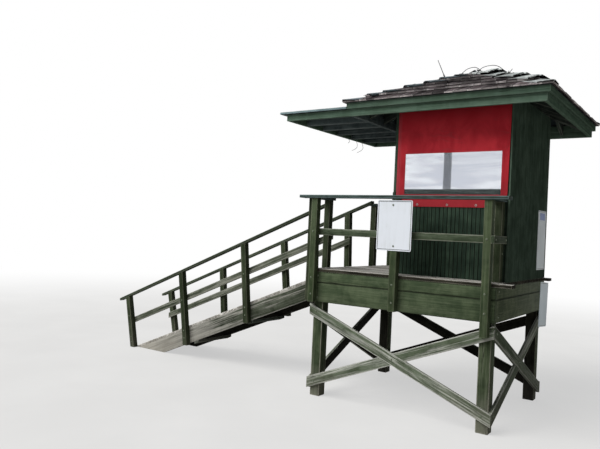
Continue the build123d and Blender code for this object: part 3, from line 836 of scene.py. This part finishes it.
# roof: decking, shakes and caps
print("roof")
roof = {
    "pitch": 0.43, "courses": 6, "shakeLength": 0.42, "butt": 0.017, "narrow": 0.10, "wide": 0.19,
    "left": 0.415, "right": 2.985, "front": -0.115, "back": 2.605, "middle": 1.700,
    "apexFront": 1.170, "apexBack": 1.320, "lowest": 2.117, "skin": 0.0392, "lowered": 0.022,
    "deckingX": (0.470, 2.930), "deckingY": (-0.060, 2.550), "slippedShare": 0.16,
}
# how unevenly the shakes lie, how the course at the eave does, and what a slipped one adds to that
uneven = {
    "length": (0.95, 1.05), "butt": (0.75, 1.25), "gap": (0.003, 0.008), "twist": 0.012, "drop": (0.0, 0.012),
    "eaveLift": 0.012, "eaveOver": 0.010, "eaveDrop": (0.0, 0.006), "eaveRise": 0.001,
    "slippedDrop": (0.02, 0.07), "slippedLift": (-0.01, 0.05), "slippedRise": (0.0, 0.010),
}
fall = math.atan(roof["pitch"])
halfSpan = roof["middle"] - roof["left"]
slopeLength = halfSpan * math.sqrt(1 + roof["pitch"] ** 2)
shakeBed = roof["lowest"] + roof["skin"] - roof["lowered"]

# each slope: where its eave starts, the way along the eave and the way up, seen from above
slopes = {
    "front": ((roof["left"], roof["front"]), rightward, backward),
    "right": ((roof["right"], roof["front"]), backward, -rightward),
    "back": ((roof["right"], roof["back"]), -rightward, -backward),
    "left": ((roof["left"], roof["back"]), -backward, rightward),
}

slopeNodes = ["roof_front_slope", "roof_back_slope", "roof_left_slope", "roof_right_slope"]
decking = copyNodes("roofDecking", *slopeNodes)
with editing(decking, facing(upward, 0.5)):
    bpy.ops.transform.translate(value=(0, 0, -roof["lowered"]))
for direction, (low, high) in ((rightward, roof["deckingX"]), (backward, roof["deckingY"])):
    base = deckCorner.dot(direction)
    keepBetween(decking, base + low, base + high, direction)
mapBoards(decking, 81)
finishPiece(decking, "soffitWood", "wood_shakes", *slopeNodes)

# a split board one unit long, wide and thick, thin at its upper end; its butt is at the origin
shake = newShape("shake", bpy.ops.mesh.primitive_cube_add, size=1, location=(0, 0.5, 0.5))
with editing(shake, facing(backward)):
    bpy.ops.transform.resize(value=(1, 1, 0.22), center_override=(0, 1, 0))


def slopeFrame(side):
    corner, along, up = slopes[side]
    y = up * math.cos(fall) + upward * math.sin(fall)
    return frameOf(along, y, along.cross(y), at(*corner, shakeBed))


def laySlope(side, seed):
    (cornerX, cornerY), along, up = slopes[side]
    width = roof["right"] - roof["left"] if along.x else roof["back"] - roof["front"]
    chance = random.Random(seed)
    frameHere = slopeFrame(side)
    exposure = slopeLength / roof["courses"]
    places = []
    for course in range(roof["courses"]):
        start = course * exposure
        reach = -0.02 - chance.uniform(0, 0.1)
        inset = start * math.cos(fall)  # the slope narrows by its plan run at both ends
        while reach < width:
            wide = chance.uniform(roof["narrow"], roof["wide"])
            if reach + wide > inset - 0.05 and reach < width - inset + 0.05:
                length = min(roof["shakeLength"] * chance.uniform(*uneven["length"]), slopeLength - start + 0.02)
                butt = roof["butt"] * chance.uniform(*uneven["butt"])
                lift = math.atan2(butt * 0.9, exposure) if course else uneven["eaveLift"]
                drop = chance.uniform(*uneven["drop" if course else "eaveDrop"])
                drop += 0.0 if course else uneven["eaveOver"]
                rise = roof["butt"] * 0.95 if course else uneven["eaveRise"]
                if course > 2 and chance.random() < roof["slippedShare"]:
                    # a few old shakes have slipped, split short or risen
                    drop += chance.uniform(*uneven["slippedDrop"])
                    lift += chance.uniform(*uneven["slippedLift"])
                    rise += chance.uniform(*uneven["slippedRise"])
                local = Matrix.Translation((reach + wide / 2, start + drop, rise)) @ Matrix.Rotation(-lift, 4, "X")
                local = local @ Matrix.Rotation(chance.uniform(-uneven["twist"], uneven["twist"]), 4, "Y")
                local = local @ Matrix.Diagonal((wide - chance.uniform(*uneven["gap"]), length, butt, 1))
                places.append(frameHere @ local)
            reach += wide
    piece = stampAll("shakes" + side.capitalize(), shake, places)
    upSlope = frameHere.to_3x3() @ backward
    mapBoards(piece, seed, upSlope)
    markFaces(piece, facing(-upSlope, 0.7))
    # the hips and the ridge cut the courses
    eave = at(cornerX, cornerY, 0)
    ridgeEnd = roof["apexFront"] if side == "front" else roof["apexBack"]
    ridge = at(roof["middle"], ridgeEnd if up.y else 0, 0)
    for place, way in ((eave, up - along), (eave + along * width, up + along), (ridge, up)):
        cutOff(piece, place, way.normalized())
    finishPiece(piece, "shakeWood shakeButt", "wood_shakes", "roof_" + side + "_slope")


for number, side in enumerate(slopes):
    laySlope(side, 90 + number)

# hip caps: pairs of boards laid over the hips, each pair over the one below it; the old ones have risen
hipCaps = {
    "width": 0.135, "length": 0.50, "seat": 0.019, "lap": 0.003, "ragged": 0.006, "trim": 0.001,
    "widths": (0.93, 1.07), "lengths": (0.94, 1.04), "lifts": (0.9, 1.1), "over": 0.004,
    "sound": {"thick": 0.023, "tilt": 0.085, "steps": (0.012, 0.246, 0.394, 0.596, 0.786, 0.935, 1.075),
              "rises": (0.0, 0.004, 0.001, 0.006, 0.003, 0.006, 0.0)},
    "risen": {"thick": 0.016, "tilt": 0.030, "steps": (0.006, 0.212, 0.436, 0.715, 0.850, 1.000, 1.120),
              "rises": (0.0, 0.032, 0.034, 0.018, 0.048, 0.014, 0.004)},
}


def makeConsistent(piece):
    with editing(piece):
        bpy.ops.mesh.normals_make_consistent(inside=False)


def layHip(end, side, seed, kind, finish):
    chance = random.Random(seed)
    setup = hipCaps[kind]
    rise = Vector((1 if side == "left" else -1, 1 if end == "front" else -1, roof["pitch"]))
    y = rise.normalized()
    members = []
    for step, run in enumerate(setup["steps"]):
        foot = at(roof[side], roof[end], shakeBed) + rise * run
        for half, slope in enumerate((end, side)):
            slopeHere = slopeFrame(slope)
            z = slopeHere.to_3x3() @ upward
            x = y.cross(z)
            inSlope = slopeHere @ Vector((1.3, 0.4, 0))
            away = x if (inSlope - foot).dot(x) > 0 else -x
            member = newPiece("hipCap", shake.data.copy())
            width = hipCaps["width"] * chance.uniform(*hipCaps["widths"])
            length = hipCaps["length"] * chance.uniform(*hipCaps["lengths"])
            length = min(length, (halfSpan - run) * rise.length + 0.03)
            with editing(member):
                bpy.ops.mesh.subdivide(number_cuts=4)
            seat = hipCaps["seat"] + hipCaps["lap"] * half
            lift = setup["rises"][step] * chance.uniform(*hipCaps["lifts"])
            for corner in member.data.vertices:
                across, share, through = corner.co
                ragged = hipCaps["ragged"] * chance.uniform(-1, 1) if share < 0.01 else 0.0
                curl = lift * (1 - share ** 2.2) - (lift * 0.25 * across if share < 0.6 else 0.0)
                corner.co = (across * width + width / 2 - hipCaps["over"], share * length + ragged,
                             through * setup["thick"] + seat - setup["tilt"] * share * length + curl)
            member.data.transform(frameOf(away, y, z, foot))
            members.append(member)
    piece = joinPieces("hipCaps" + end.capitalize() + side.capitalize(), members)
    makeConsistent(piece)
    for way, low, high in ((rightward, roof["left"], roof["right"]), (backward, roof["front"], roof["back"])):
        base = deckCorner.dot(way)
        keepBetween(piece, base + low + hipCaps["trim"], base + high - hipCaps["trim"], way)
    mapBoards(piece, seed, y, wholeBoards=True)
    # their butts and undersides take a dark wood: painted shade
    markFaces(piece, lambda centre, normal: normal.dot(-y) > 0.6 or normal.z < -0.5)
    finishPiece(piece, finish + " capButt", "wood_shakes")


layHip("front", "left", 101, "sound", "capShakeWood")
# the front right hip's caps take the pale copy, painted light on their tops
layHip("front", "right", 102, "risen", "bleachedWood")
layHip("back", "left", 103, "sound", "capShakeWood")
layHip("back", "right", 104, "sound", "capShakeWood")

# two short boards over the ridge and the heads of the hips
ridgeSetup = {"size": (0.120, 0.22, 0.014), "forward": 0.035, "off": 0.058, "seat": 0.024, "lap": 0.003}
places = []
foot = at(roof["middle"], roof["apexFront"] - ridgeSetup["forward"], shakeBed + roof["pitch"] * halfSpan)
for number, (side, sign) in enumerate((("left", -1), ("right", 1))):
    z = slopeFrame(side).to_3x3() @ upward
    x = Vector((sign * math.cos(fall), 0, -math.sin(fall)))
    local = Matrix.Translation((ridgeSetup["off"], 0, ridgeSetup["seat"] + ridgeSetup["lap"] * number))
    places.append(frameOf(x, backward, z, foot) @ local @ Matrix.Diagonal((*ridgeSetup["size"], 1)))
ridgeCap = stampAll("ridgeCaps", shake, places)
makeConsistent(ridgeCap)
mapBoards(ridgeCap, 105, backward)
# the butts of the ridge caps take the dark wood, painted shade
markFaces(ridgeCap, facing(-backward, 0.7))
finishPiece(ridgeCap, "capShakeWood capButt", "wood_shakes")
bpy.data.objects.remove(shake)

# awning roof: board, edge and roofing felt
print("awning")
awning = {"lowered": 0.004, "arris": 0.003, "laps": (0.82, 1.70), "lapOver": 0.07, "below": 0.004, "thick": 0.003,
          "margin": 0.012, "inset": 0.004, "wave": 0.0012, "raised": 0.0045, "flat": 0.0005, "rough": 0.0006,
          "seat": 0.0015}
awningBoard = copyNodes("awningBoard", "awning_roof")
with editing(awningBoard, facing(upward, 0.5)):
    bpy.ops.transform.translate(value=(0, 0, -awning["lowered"]))
roundArrises(awningBoard, awning["arris"])
mapBoards(awningBoard, 201, rightward)
# the board's underside takes the dark soffit wood: painted shade under the awning
markFaces(awningBoard, facing(-upward, 0.5))
finishPiece(awningBoard, "awningEdge soffitWood", "roof_sheet", "awning_roof")

low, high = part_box("awning_roof")
edges = [low.y + awning["inset"], *(low.y + lap for lap in awning["laps"]), high.y - awning["inset"]]
strips = []
for number, start in enumerate(edges[:-1]):
    end = edges[number + 1] + (awning["lapOver"] if number < 2 else 0)
    strip = newShape("feltStrip", bpy.ops.mesh.primitive_plane_add, (high.x - low.x - awning["margin"], end - start, 1),
                     size=1, location=((high.x + low.x) / 2, (start + end) / 2, high.z - awning["below"]))
    with editing(strip):
        bpy.ops.mesh.subdivide(number_cuts=24)
    chance = random.Random(210 + number)
    for corner in strip.data.vertices:
        overLap = number > 0 and corner.co.y < start + awning["lapOver"] * 0.6
        wave = awning["wave"] * math.sin(corner.co.x * 9 + number) * math.sin(corner.co.y * 7)
        corner.co.z += awning["raised" if overLap else "flat"] + wave + chance.uniform(0, awning["rough"])
    strips.append(strip)
felt = joinPieces("awningFelt", strips)
felt.data.transform(Matrix.Translation((0, 0, awning["seat"])))
modify(felt, "SOLIDIFY", thickness=awning["thick"], offset=-1)
smoothShade(felt, 35)
finishPiece(felt, "roofFelt", "roof_sheet")


# curtain
print("curtain")
curtain = {
    "sheet": (1.000, 2.420, 0.857, 2.172), "window": (1.113, 2.330, 1.010, 1.520), "face": 0.3692,
    "step": (2.2715, 0.966), "turnIn": 0.012, "corner": 0.060, "welt": 0.030, "hem": 0.048, "sideHem": 0.028,
    "lap": 0.014, "fold": 0.0095, "drawnIn": 0.012, "stitch": (0.00682, 0.0014, 0.0016), "stitchPitch": 0.011,
    "stitchInset": 0.005, "stitchProud": 0.0026, "grid": 0.020, "paneGrid": 0.030,
    "ring": (0.0105, 0.0032), "lowerRings": (1.05, 1.30, 1.688, 2.047, 2.235),
    "upperRings": (1.06, 1.39, 1.72, 2.05, 2.36), "ringHeights": (0.026, 0.020, 0.035),
    "ringProud": (0.0035, 0.0025), "paneRipple": 0.0012,
    "layers": ((0.0, 0.0010), (0.0018, 0.0012), (-0.0016, 0.0006)),  # cloth, welts, pane: forward, thick
}
clothLeft, clothRight, clothBottom, clothTop = curtain["sheet"]
paneLeft, paneRight, paneBottom, paneTop = curtain["window"]
stepX, stepZ = curtain["step"]
cutX = stepX - curtain["turnIn"]
welt, hem, sideHem = curtain["welt"], curtain["hem"], curtain["sideHem"]

# how the vinyl hangs: its slack, ripples near the top, creases off the window's corners and the pull of the hem
folds = {
    "slack": 0.9, "ripples": 17, "swing": 1.1, "swings": 5, "ripple": 0.35, "rippleAt": 0.16, "rippleReach": 0.22,
    "crease": 0.38, "creaseWide": 0.022, "creaseAt": 0.12, "creaseReach": 0.20,
    "creases": ((paneLeft, 0.55, 0.9), (paneRight, -0.42, 1.0), (1.62, 0.18, 0.5)),
    "hem": 0.35, "hemWaves": 31, "hemReach": 0.10,
}


def bell(distance, width):
    return math.exp(-(distance / width) ** 2)


def foldAt(x, z):
    # how far the vinyl stands forward
    across = (x - clothLeft) / (clothRight - clothLeft)
    down = (clothTop - z) / (clothTop - clothBottom)
    slack = math.sin(math.pi * max(0, min(1, across))) * math.sin(math.pi * min(1, down * 1.6)) * folds["slack"]
    ripple = 0.5 + 0.5 * math.sin(across * folds["ripples"] + folds["swing"] * math.sin(down * folds["swings"]))
    ripple *= folds["ripple"] * bell(down - folds["rippleAt"], folds["rippleReach"])
    crease = 0.0
    if z >= paneTop - 0.01:
        for cornerX, lean, size in folds["creases"]:
            line = bell(x - cornerX - lean * (z - paneTop), folds["creaseWide"])
            crease += size * line * bell(z - paneTop - folds["creaseAt"], folds["creaseReach"])
    hemPull = folds["hem"] * (0.5 + 0.5 * math.cos(across * folds["hemWaves"]))
    hemPull *= bell(z - clothBottom, folds["hemReach"])
    return curtain["fold"] * (slack + ripple + folds["crease"] * crease + hemPull)


def drawnIn(x, z):
    # the loose right edge draws in towards its lower end
    down = max(0.0, (clothTop - z) / (clothTop - stepZ))
    edge = max(0.0, min(1.0, (x - paneRight) / (clothRight - paneRight)))
    return curtain["drawnIn"] * edge * down ** 1.5


def vinylFace(x, z, proud):
    return at(x, curtain["face"] - foldAt(x, z) - proud, z)


def curtainSheet(name, left, right, bottom, top, spacing, seams=()):
    # a flat grid in the curtain's plane, cut along the lines that its seams follow
    width, height = right - left, top - bottom
    piece = newShape(name, bpy.ops.mesh.primitive_grid_add, (width, height, 1), size=1,
                     x_subdivisions=round(width / spacing), y_subdivisions=round(height / spacing),
                     rotation=(math.radians(90), 0, 0),
                     location=at((left + right) / 2, curtain["face"], (bottom + top) / 2))
    with editing(piece):
        for direction, place in seams:
            scoreAll(deckCorner + direction * place, direction)
    return piece


def trimSheet(piece, test):
    # takes out what the test names, then trims the lower right corner with short tangent cuts
    with editing(piece, lambda centre, normal: test(centre.x - deckCorner.x, centre.z - deckCorner.z)):
        bpy.ops.mesh.delete(type="FACE")
    radius = curtain["corner"]
    middle = at(clothRight - radius, 0, stepZ + radius)
    for turn in range(1, 7):
        angle = math.radians(turn * 90 / 7)
        out = Vector((math.cos(angle), 0, -math.sin(angle)))
        with editing(piece, lambda spot, normal: spot.x > middle.x - 0.03 and spot.z < middle.z + 0.03):
            bpy.ops.mesh.bisect(plane_co=middle + out * radius, plane_no=out, clear_outer=True)


def cutOut(x, z):
    return paneLeft < x < paneRight and paneBottom < z < paneTop or x > cutX and z < stepZ


def doubled(x, z):
    # the welts round the window, and the hems
    onWelt = paneLeft - welt < x < paneRight + welt and paneBottom - welt < z < paneTop + welt
    onHem = z < clothBottom + hem or x > cutX and z < stepZ + sideHem
    return onWelt or onHem or not clothLeft + sideHem <= x <= clothRight - sideHem


seamsAcross = (paneLeft, paneRight, stepX, paneLeft - welt, paneRight + welt, clothLeft + sideHem,
               clothRight - sideHem, cutX)
seamsUp = (paneBottom, paneTop, stepZ, paneBottom - welt, paneTop + welt, clothBottom + hem, stepZ + sideHem)
seams = [(rightward, place) for place in seamsAcross] + [(upward, place) for place in seamsUp]
lap = curtain["lap"]
paneEdges = (paneLeft - lap, paneRight + lap, paneBottom - lap, paneTop + lap)
cloth = curtainSheet("curtainCloth", *curtain["sheet"], curtain["grid"], seams)
welts = curtainSheet("curtainWelts", *curtain["sheet"], curtain["grid"], seams)
pane = curtainSheet("curtainPane", *paneEdges, curtain["paneGrid"])
trimSheet(cloth, cutOut)
trimSheet(welts, lambda x, z: cutOut(x, z) or not doubled(x, z))
for piece, (forward, thick) in zip((cloth, welts, pane), curtain["layers"]):
    layer = piece.data.uv_layers.new(name="cloth")
    spots = [corner.co - deckCorner for corner in piece.data.vertices]
    for loop in piece.data.loops:
        layer.data[loop.index].uv = spots[loop.vertex_index].xz
    for corner, spot in zip(piece.data.vertices, spots):
        corner.co.y -= foldAt(spot.x, spot.z) + forward
        corner.co.x -= drawnIn(spot.x, spot.z)
        if piece == pane:
            ripple = math.sin(spot.x * 21 + math.sin(spot.z * 17)) * math.sin((spot.z - paneBottom) * 6.1)
            corner.co.y -= curtain["paneRipple"] * ripple
    modify(piece, "SOLIDIFY", thickness=thick, offset=0)
    smoothShade(piece, 40)

# grommets in both hems, modelled once
grommet = newShape("grommet", bpy.ops.mesh.primitive_torus_add, major_segments=14, minor_segments=6,
                   major_radius=curtain["ring"][0], minor_radius=curtain["ring"][1],
                   rotation=(math.radians(90), 0, 0))
inHem, inStep, underTop = curtain["ringHeights"]
lowProud, highProud = curtain["ringProud"]
rings = [(x, clothBottom + inHem if x < stepX else stepZ + inStep, lowProud) for x in curtain["lowerRings"]]
rings += [(x, clothTop - underTop, highProud) for x in curtain["upperRings"]]
grommets = stampAll("curtainGrommets", grommet, [Matrix.Translation(vinylFace(*ring)) for ring in rings])
smoothShade(grommets, 60)
bpy.data.objects.remove(grommet)

# lines of stitches along the seams
stitch = newShape("stitch", bpy.ops.mesh.primitive_cube_add, curtain["stitch"], size=1)
with editing(stitch, lambda centre, normal: abs(normal.x) > 0.5):
    bpy.ops.transform.resize(value=(1, 0.3, 0.4))
seamLines = []
inset = curtain["stitchInset"]
for off in (inset, welt - inset):
    x0, x1, z0, z1 = paneLeft - off, paneRight + off, paneBottom - off, paneTop + off
    seamLines += [(x0, z0, x1, z0), (x0, z1, x1, z1), (x0, z0, x0, z1), (x1, z0, x1, z1)]
hemLine, leftLine, rightLine = clothBottom + hem - inset, clothLeft + sideHem - inset, clothRight - sideHem + inset
seamLines += [(clothLeft + 0.01, hemLine, stepX - 0.02, hemLine),
              (leftLine, clothBottom + 0.01, leftLine, clothTop - 0.01),
              (rightLine, stepZ + 0.03, rightLine, clothTop - 0.01)]
places = []
for xa, za, xb, zb in seamLines:
    turn = Matrix.Rotation(math.radians(90 if xa == xb else 0), 4, "Y")
    count = int(math.hypot(xb - xa, zb - za) / curtain["stitchPitch"])
    for step in range(count):
        share = (step + 0.5) / count
        x, z = xa + (xb - xa) * share, za + (zb - za) * share
        spot = vinylFace(x, z, curtain["stitchProud"]) - rightward * drawnIn(x, z)
        places.append(Matrix.Translation(spot) @ turn)
stitches = stampAll("curtainStitches", stitch, places)
bpy.data.objects.remove(stitch)

finishPiece(cloth, "curtainVinyl", "curtain_vinyl", "curtain")
finishPiece(welts, "curtainVinyl", "curtain_vinyl", "curtain")
finishPiece(grommets, "dullMetal", "curtain_vinyl")
finishPiece(stitches, "threadRed", "curtain_vinyl")
finishPiece(pane, "clearVinyl", "clear_vinyl", "curtain_window")


# signs
print("signs")
signs = {"border": 0.0125, "line": 0.0065, "arris": 0.0006, "block": (1.751, 2.0175, 0.780, 0.875),
         "blockOut": 2.4433, "blockThick": 0.0006, "blockCorner": 0.008}


def dressSign(name, node, outward, finish, keep=None):
    piece = copyNodes(name, node)
    with editing(piece):
        if keep:
            pickFaces(piece, keep)
            bpy.ops.mesh.select_linked()
            bpy.ops.mesh.select_all(action="INVERT")
            bpy.ops.mesh.delete(type="VERT")
        pickFaces(piece, facing(outward))
        bpy.ops.mesh.inset(thickness=signs["border"])
        bpy.ops.mesh.inset(thickness=signs["line"])
        shape = bmesh.from_edit_mesh(piece.data)
        inner = {face for face in shape.faces if face.select}
        rim = {face for panel in inner for edge in panel.edges for face in edge.link_faces} - inner
        for face in shape.faces:
            face.material_index = 1 if face in rim else 0
        bmesh.update_edit_mesh(piece.data)
    roundArrises(piece, signs["arris"], 1)
    finishPiece(piece, finish + " signLine", "sign_panel", node)


dressSign("railSign", "rail_sign", -backward, "signWhite")
dressSign("wallSign", "side_signs", rightward, "signShaded", lambda centre, normal: centre.z > deckCorner.z)
dressSign("skirtSign", "side_signs", rightward, "signPale", lambda centre, normal: centre.z < deckCorner.z)

left, right, bottom, top = signs["block"]
block = newShape("wallSignBlock", bpy.ops.mesh.primitive_cube_add,
                 (signs["blockThick"], right - left, top - bottom), size=1,
                 location=at(signs["blockOut"], (left + right) / 2, (bottom + top) / 2))
with editing(block):
    bpy.ops.mesh.select_all(action="DESELECT")
    shape = bmesh.from_edit_mesh(block.data)
    for edge in shape.edges:
        if abs((edge.verts[0].co - edge.verts[1].co).x) > signs["blockThick"] / 2:
            edge.select_set(True)
    bmesh.update_edit_mesh(block.data)
    bpy.ops.mesh.bevel(offset=signs["blockCorner"], segments=4)
finishPiece(block, "signBlue", "sign_panel")


# bolts
print("bolts")
boltSetup = {"head": 0.0085, "dome": 0.006, "washer": 0.0125, "thick": 0.002,
             "steps": ((0.55, 1.0), (0.3, 0.78), (0.15, 0.45))}
bolt = newShape("bolt", bpy.ops.mesh.primitive_cylinder_add, vertices=12, radius=boltSetup["washer"],
                depth=boltSetup["thick"], location=(0, 0, boltSetup["thick"] / 2))
with editing(bolt, facing(upward)):
    bpy.ops.mesh.inset(thickness=boltSetup["washer"] - boltSetup["head"])
    for share, widen in boltSetup["steps"]:
        pushFaces(upward * boltSetup["dome"] * share, widen)

# the deck's width and depth, how far the rail posts stand out from it, and the heights of the rows of bolts
boltRows = {"wide": 2.44, "deep": 2.134, "posts": 0.089, "skirt": (-0.113, -0.328), "rail": 0.487,
            "legs": (-0.09, -0.375, -0.56, -1.47), "crossing": -1.018}
wide, deep, proud = boltRows["wide"], boltRows["deep"], boltRows["posts"]
skirtRows, railRow, legRows, crossing = (boltRows[row] for row in ("skirt", "rail", "legs", "crossing"))
# the way each bolt faces, then where its washer sits
frontPlaces = [(0.0535, -proud, railRow), (2.3415, -proud, railRow), (1.197, -0.092, 0.845), (1.219, -0.092, 0.352)]
rightPlaces = [(2.427, 0.329, railRow), (2.427, -0.040, railRow), (2.389, 0.330, 0.328)]
boltPlaces = [(-backward, (x + move, -proud, z)) for x in (0.0565, 1.2195, 2.3445)
              for z, move in zip(skirtRows, (0.0, 0.004))]
boltPlaces += [(-backward, place) for place in frontPlaces] + [(rightward, place) for place in rightPlaces]
boltPlaces += [(-rightward, (-proud, y, z)) for y in (0.0445, 0.4245, 1.7645) for z in (*skirtRows, railRow)]
boltPlaces += [(backward, (x, deep + proud, z)) for x in (0.0565, 0.9055) for z in skirtRows]
for x in (0.108, 2.332):
    for z in legRows:
        boltPlaces += [(-backward, (x, 0.0, z)), (backward, (x, deep, z))]
boltPlaces += [(-backward, (wide / 2, 0.0, crossing)), (backward, (wide / 2, deep, crossing))]
for y in (0.108, 2.026):
    for z in legRows:
        boltPlaces.append((-rightward, (0.0, y, z)))
        if y < 1 or z < -1:
            boltPlaces.append((rightward, (wide, y, z)))
boltPlaces += [(-rightward, (0.0, deep / 2, crossing)), (rightward, (wide, deep / 2, crossing))]
# the ramp's near posts lean, so their bolts follow the line up the middle of each
for part in cadParts(cadNodes["ramp_posts"]):
    post = sorted((place - deckCorner for place in part), key=lambda spot: spot.z)
    near = min(spot.y for spot in post)
    half = len(post) // 2
    bottom, top = sum(post[:half], Vector()) / half, sum(post[half:], Vector()) / half
    for share in (0.10, 0.20, 0.62) if near < 1.0 else ():
        spot = bottom.lerp(top, share)
        boltPlaces.append((-backward, (spot.x, near, spot.z)))
places = []
for number, (way, place) in enumerate(boltPlaces):
    turn = way.to_track_quat("Z", "Y").to_matrix().to_4x4()
    places.append(Matrix.Translation(at(*place)) @ turn @ Matrix.Rotation(number * 0.7, 4, "Z"))
bolts = stampAll("carriageBolts", bolt, places)
bpy.data.objects.remove(bolt)
smoothShade(bolts, 50)
finishPiece(bolts, "boltPaint", "painted_lumber")


# whip aerial: socket, rod and the small bead at its tip
print("aerial and wires")
whip = {"foot": (1.386, 0.864, 2.582), "tip": (1.276, 0.864, 2.831), "socket": 0.045, "radius": 0.0095,
        "shoulder": (0.010, 0.55), "rod": (-0.018, 0.75), "bead": ((0.003, 1.4), (0.004, 0.5))}
foot, tip = at(*whip["foot"]), at(*whip["tip"])
lean = (tip - foot).normalized()
aerial = newShape("whipAerial", bpy.ops.mesh.primitive_cylinder_add, vertices=12, radius=whip["radius"],
                  depth=whip["socket"], location=foot + lean * whip["socket"] / 2,
                  rotation=lean.to_track_quat("Z", "Y").to_euler())
with editing(aerial, facing(lean)):
    short, taper = whip["rod"]  # the rod stops short of the tip by the shoulder and the bead
    rod = (tip - foot).length - whip["socket"] + short
    for length, widen in (whip["shoulder"], (rod, taper), *whip["bead"]):
        pushFaces(lean * length, widen)
smoothShade(aerial, 40)
finishPiece(aerial, "darkRod", "aerial_rod", "whip_aerial")


def bentWire(name, routes, thickness):
    # stiff wire on smooth lines
    members = []
    for route in routes:
        line = bpy.data.curves.new(name, "CURVE")
        line.dimensions = "3D"
        spline = line.splines.new("NURBS")
        spline.points.add(len(route) - 1)
        for point, place in zip(spline.points, route):
            point.co = (*at(*place), 1)
        spline.order_u = 3
        spline.use_endpoint_u = True
        line.bevel_depth = thickness / 2
        line.bevel_resolution = 2
        line.resolution_u = 6
        line.use_fill_caps = True
        members.append(newPiece(name, line))
    onlySelect(*members)
    bpy.ops.object.convert(target="MESH")
    wire = joinPieces(name, list(bpy.context.selected_objects))
    smoothShade(wire, 60)
    finishPiece(wire, "darkRod", "aerial_rod")


# each set of wires: its thickness and the points that its wires pass near
wires = {
    "peakWires": (0.008, [
        [(1.585, 0.86, 2.585), (1.66, 0.83, 2.640), (1.75, 0.80, 2.662), (1.845, 0.80, 2.655), (1.90, 0.82, 2.585)],
        [(1.80, 0.86, 2.575), (1.86, 0.83, 2.640), (1.96, 0.80, 2.660), (2.08, 0.80, 2.655), (2.17, 0.78, 2.585),
         (2.235, 0.77, 2.520)],
        [(2.235, 0.77, 2.515), (2.26, 0.80, 2.565), (2.275, 0.80, 2.585)],
        [(2.19, 0.80, 2.50), (2.25, 0.77, 2.53), (2.31, 0.76, 2.525)],
        [(2.20, 0.74, 2.545), (2.24, 0.77, 2.515), (2.27, 0.79, 2.48)],
    ]),
    "eaveHooks": (0.006, [
        [(-0.482, 1.838, 1.985), (-0.484, 1.885, 1.950), (-0.486, 1.895, 1.890), (-0.487, 1.83, 1.845),
         (-0.488, 1.73, 1.812)],
        [(-0.482, 2.018, 1.985), (-0.484, 2.070, 1.945), (-0.486, 2.085, 1.885), (-0.487, 2.00, 1.835),
         (-0.488, 1.90, 1.800)],
        [(-0.482, 1.600, 1.985), (-0.484, 1.635, 1.955), (-0.486, 1.640, 1.930), (-0.487, 1.60, 1.915)],
    ]),
}
for name, (thickness, routes) in wires.items():
    bentWire(name, routes, thickness)

# a clamp of folded strip where the wires meet the hip
clampSetup = {"place": (2.243, 0.772, 2.528), "turn": (0.6, 0.9, 0), "radius": 0.020, "width": 0.030,
              "rim": 0.003, "ear": (0.004, 0, 0.010), "arris": 0.002}
clamp = newShape("wireClamp", bpy.ops.mesh.primitive_cylinder_add, vertices=14, radius=clampSetup["radius"],
                 depth=clampSetup["width"], location=at(*clampSetup["place"]), rotation=clampSetup["turn"])
with editing(clamp, lambda centre, normal: normal.z > 0.55 and abs(normal.x) > 0.3):
    bpy.ops.mesh.inset(thickness=clampSetup["rim"])
    pushFaces(clampSetup["ear"])
roundArrises(clamp, clampSetup["arris"])
finishPiece(clamp, "dullMetal", "aerial_rod")


# the floor fades to plain white further out
print("floor")
floorSetup = {"size": 160, "below": 0.001, "near": (166, 164, 160), "patches": (178, 176, 172),
              "fade": (5.0, 20.0), "shown": (0.55, 1.0)}
floor = newShape("paleFloor", bpy.ops.mesh.primitive_plane_add, size=floorSetup["size"],
                 location=(0, 0, groundLevel - floorSetup["below"]))
tree, shader, out = startMaterial("paleFloor")
position = objectPlace(tree)
patches = band(noise(position, 0.6, 5.0), 0.3, 0.7)
ground = blend(patches, tint(*floorSetup["near"]), tint(*floorSetup["patches"]))
feed(shader.inputs["Base Color"], ground)
shader.inputs["Roughness"].default_value = 0.95
shader.inputs["Specular IOR Level"].default_value = 0.1
far = addNode(tree, "VectorMath", {0: position}, operation="LENGTH").outputs["Value"]
fade = times(band(far, *floorSetup["fade"], *floorSetup["shown"]), seenRays(tree))
glow = addNode(tree, "Emission", {"Color": white, "Strength": 1.0}).outputs[0]
feed(out.inputs["Surface"], addNode(tree, "MixShader", {0: fade, 1: shader.outputs[0], 2: glow}).outputs[0])
floor.data.materials.append(bpy.data.materials["paleFloor"])
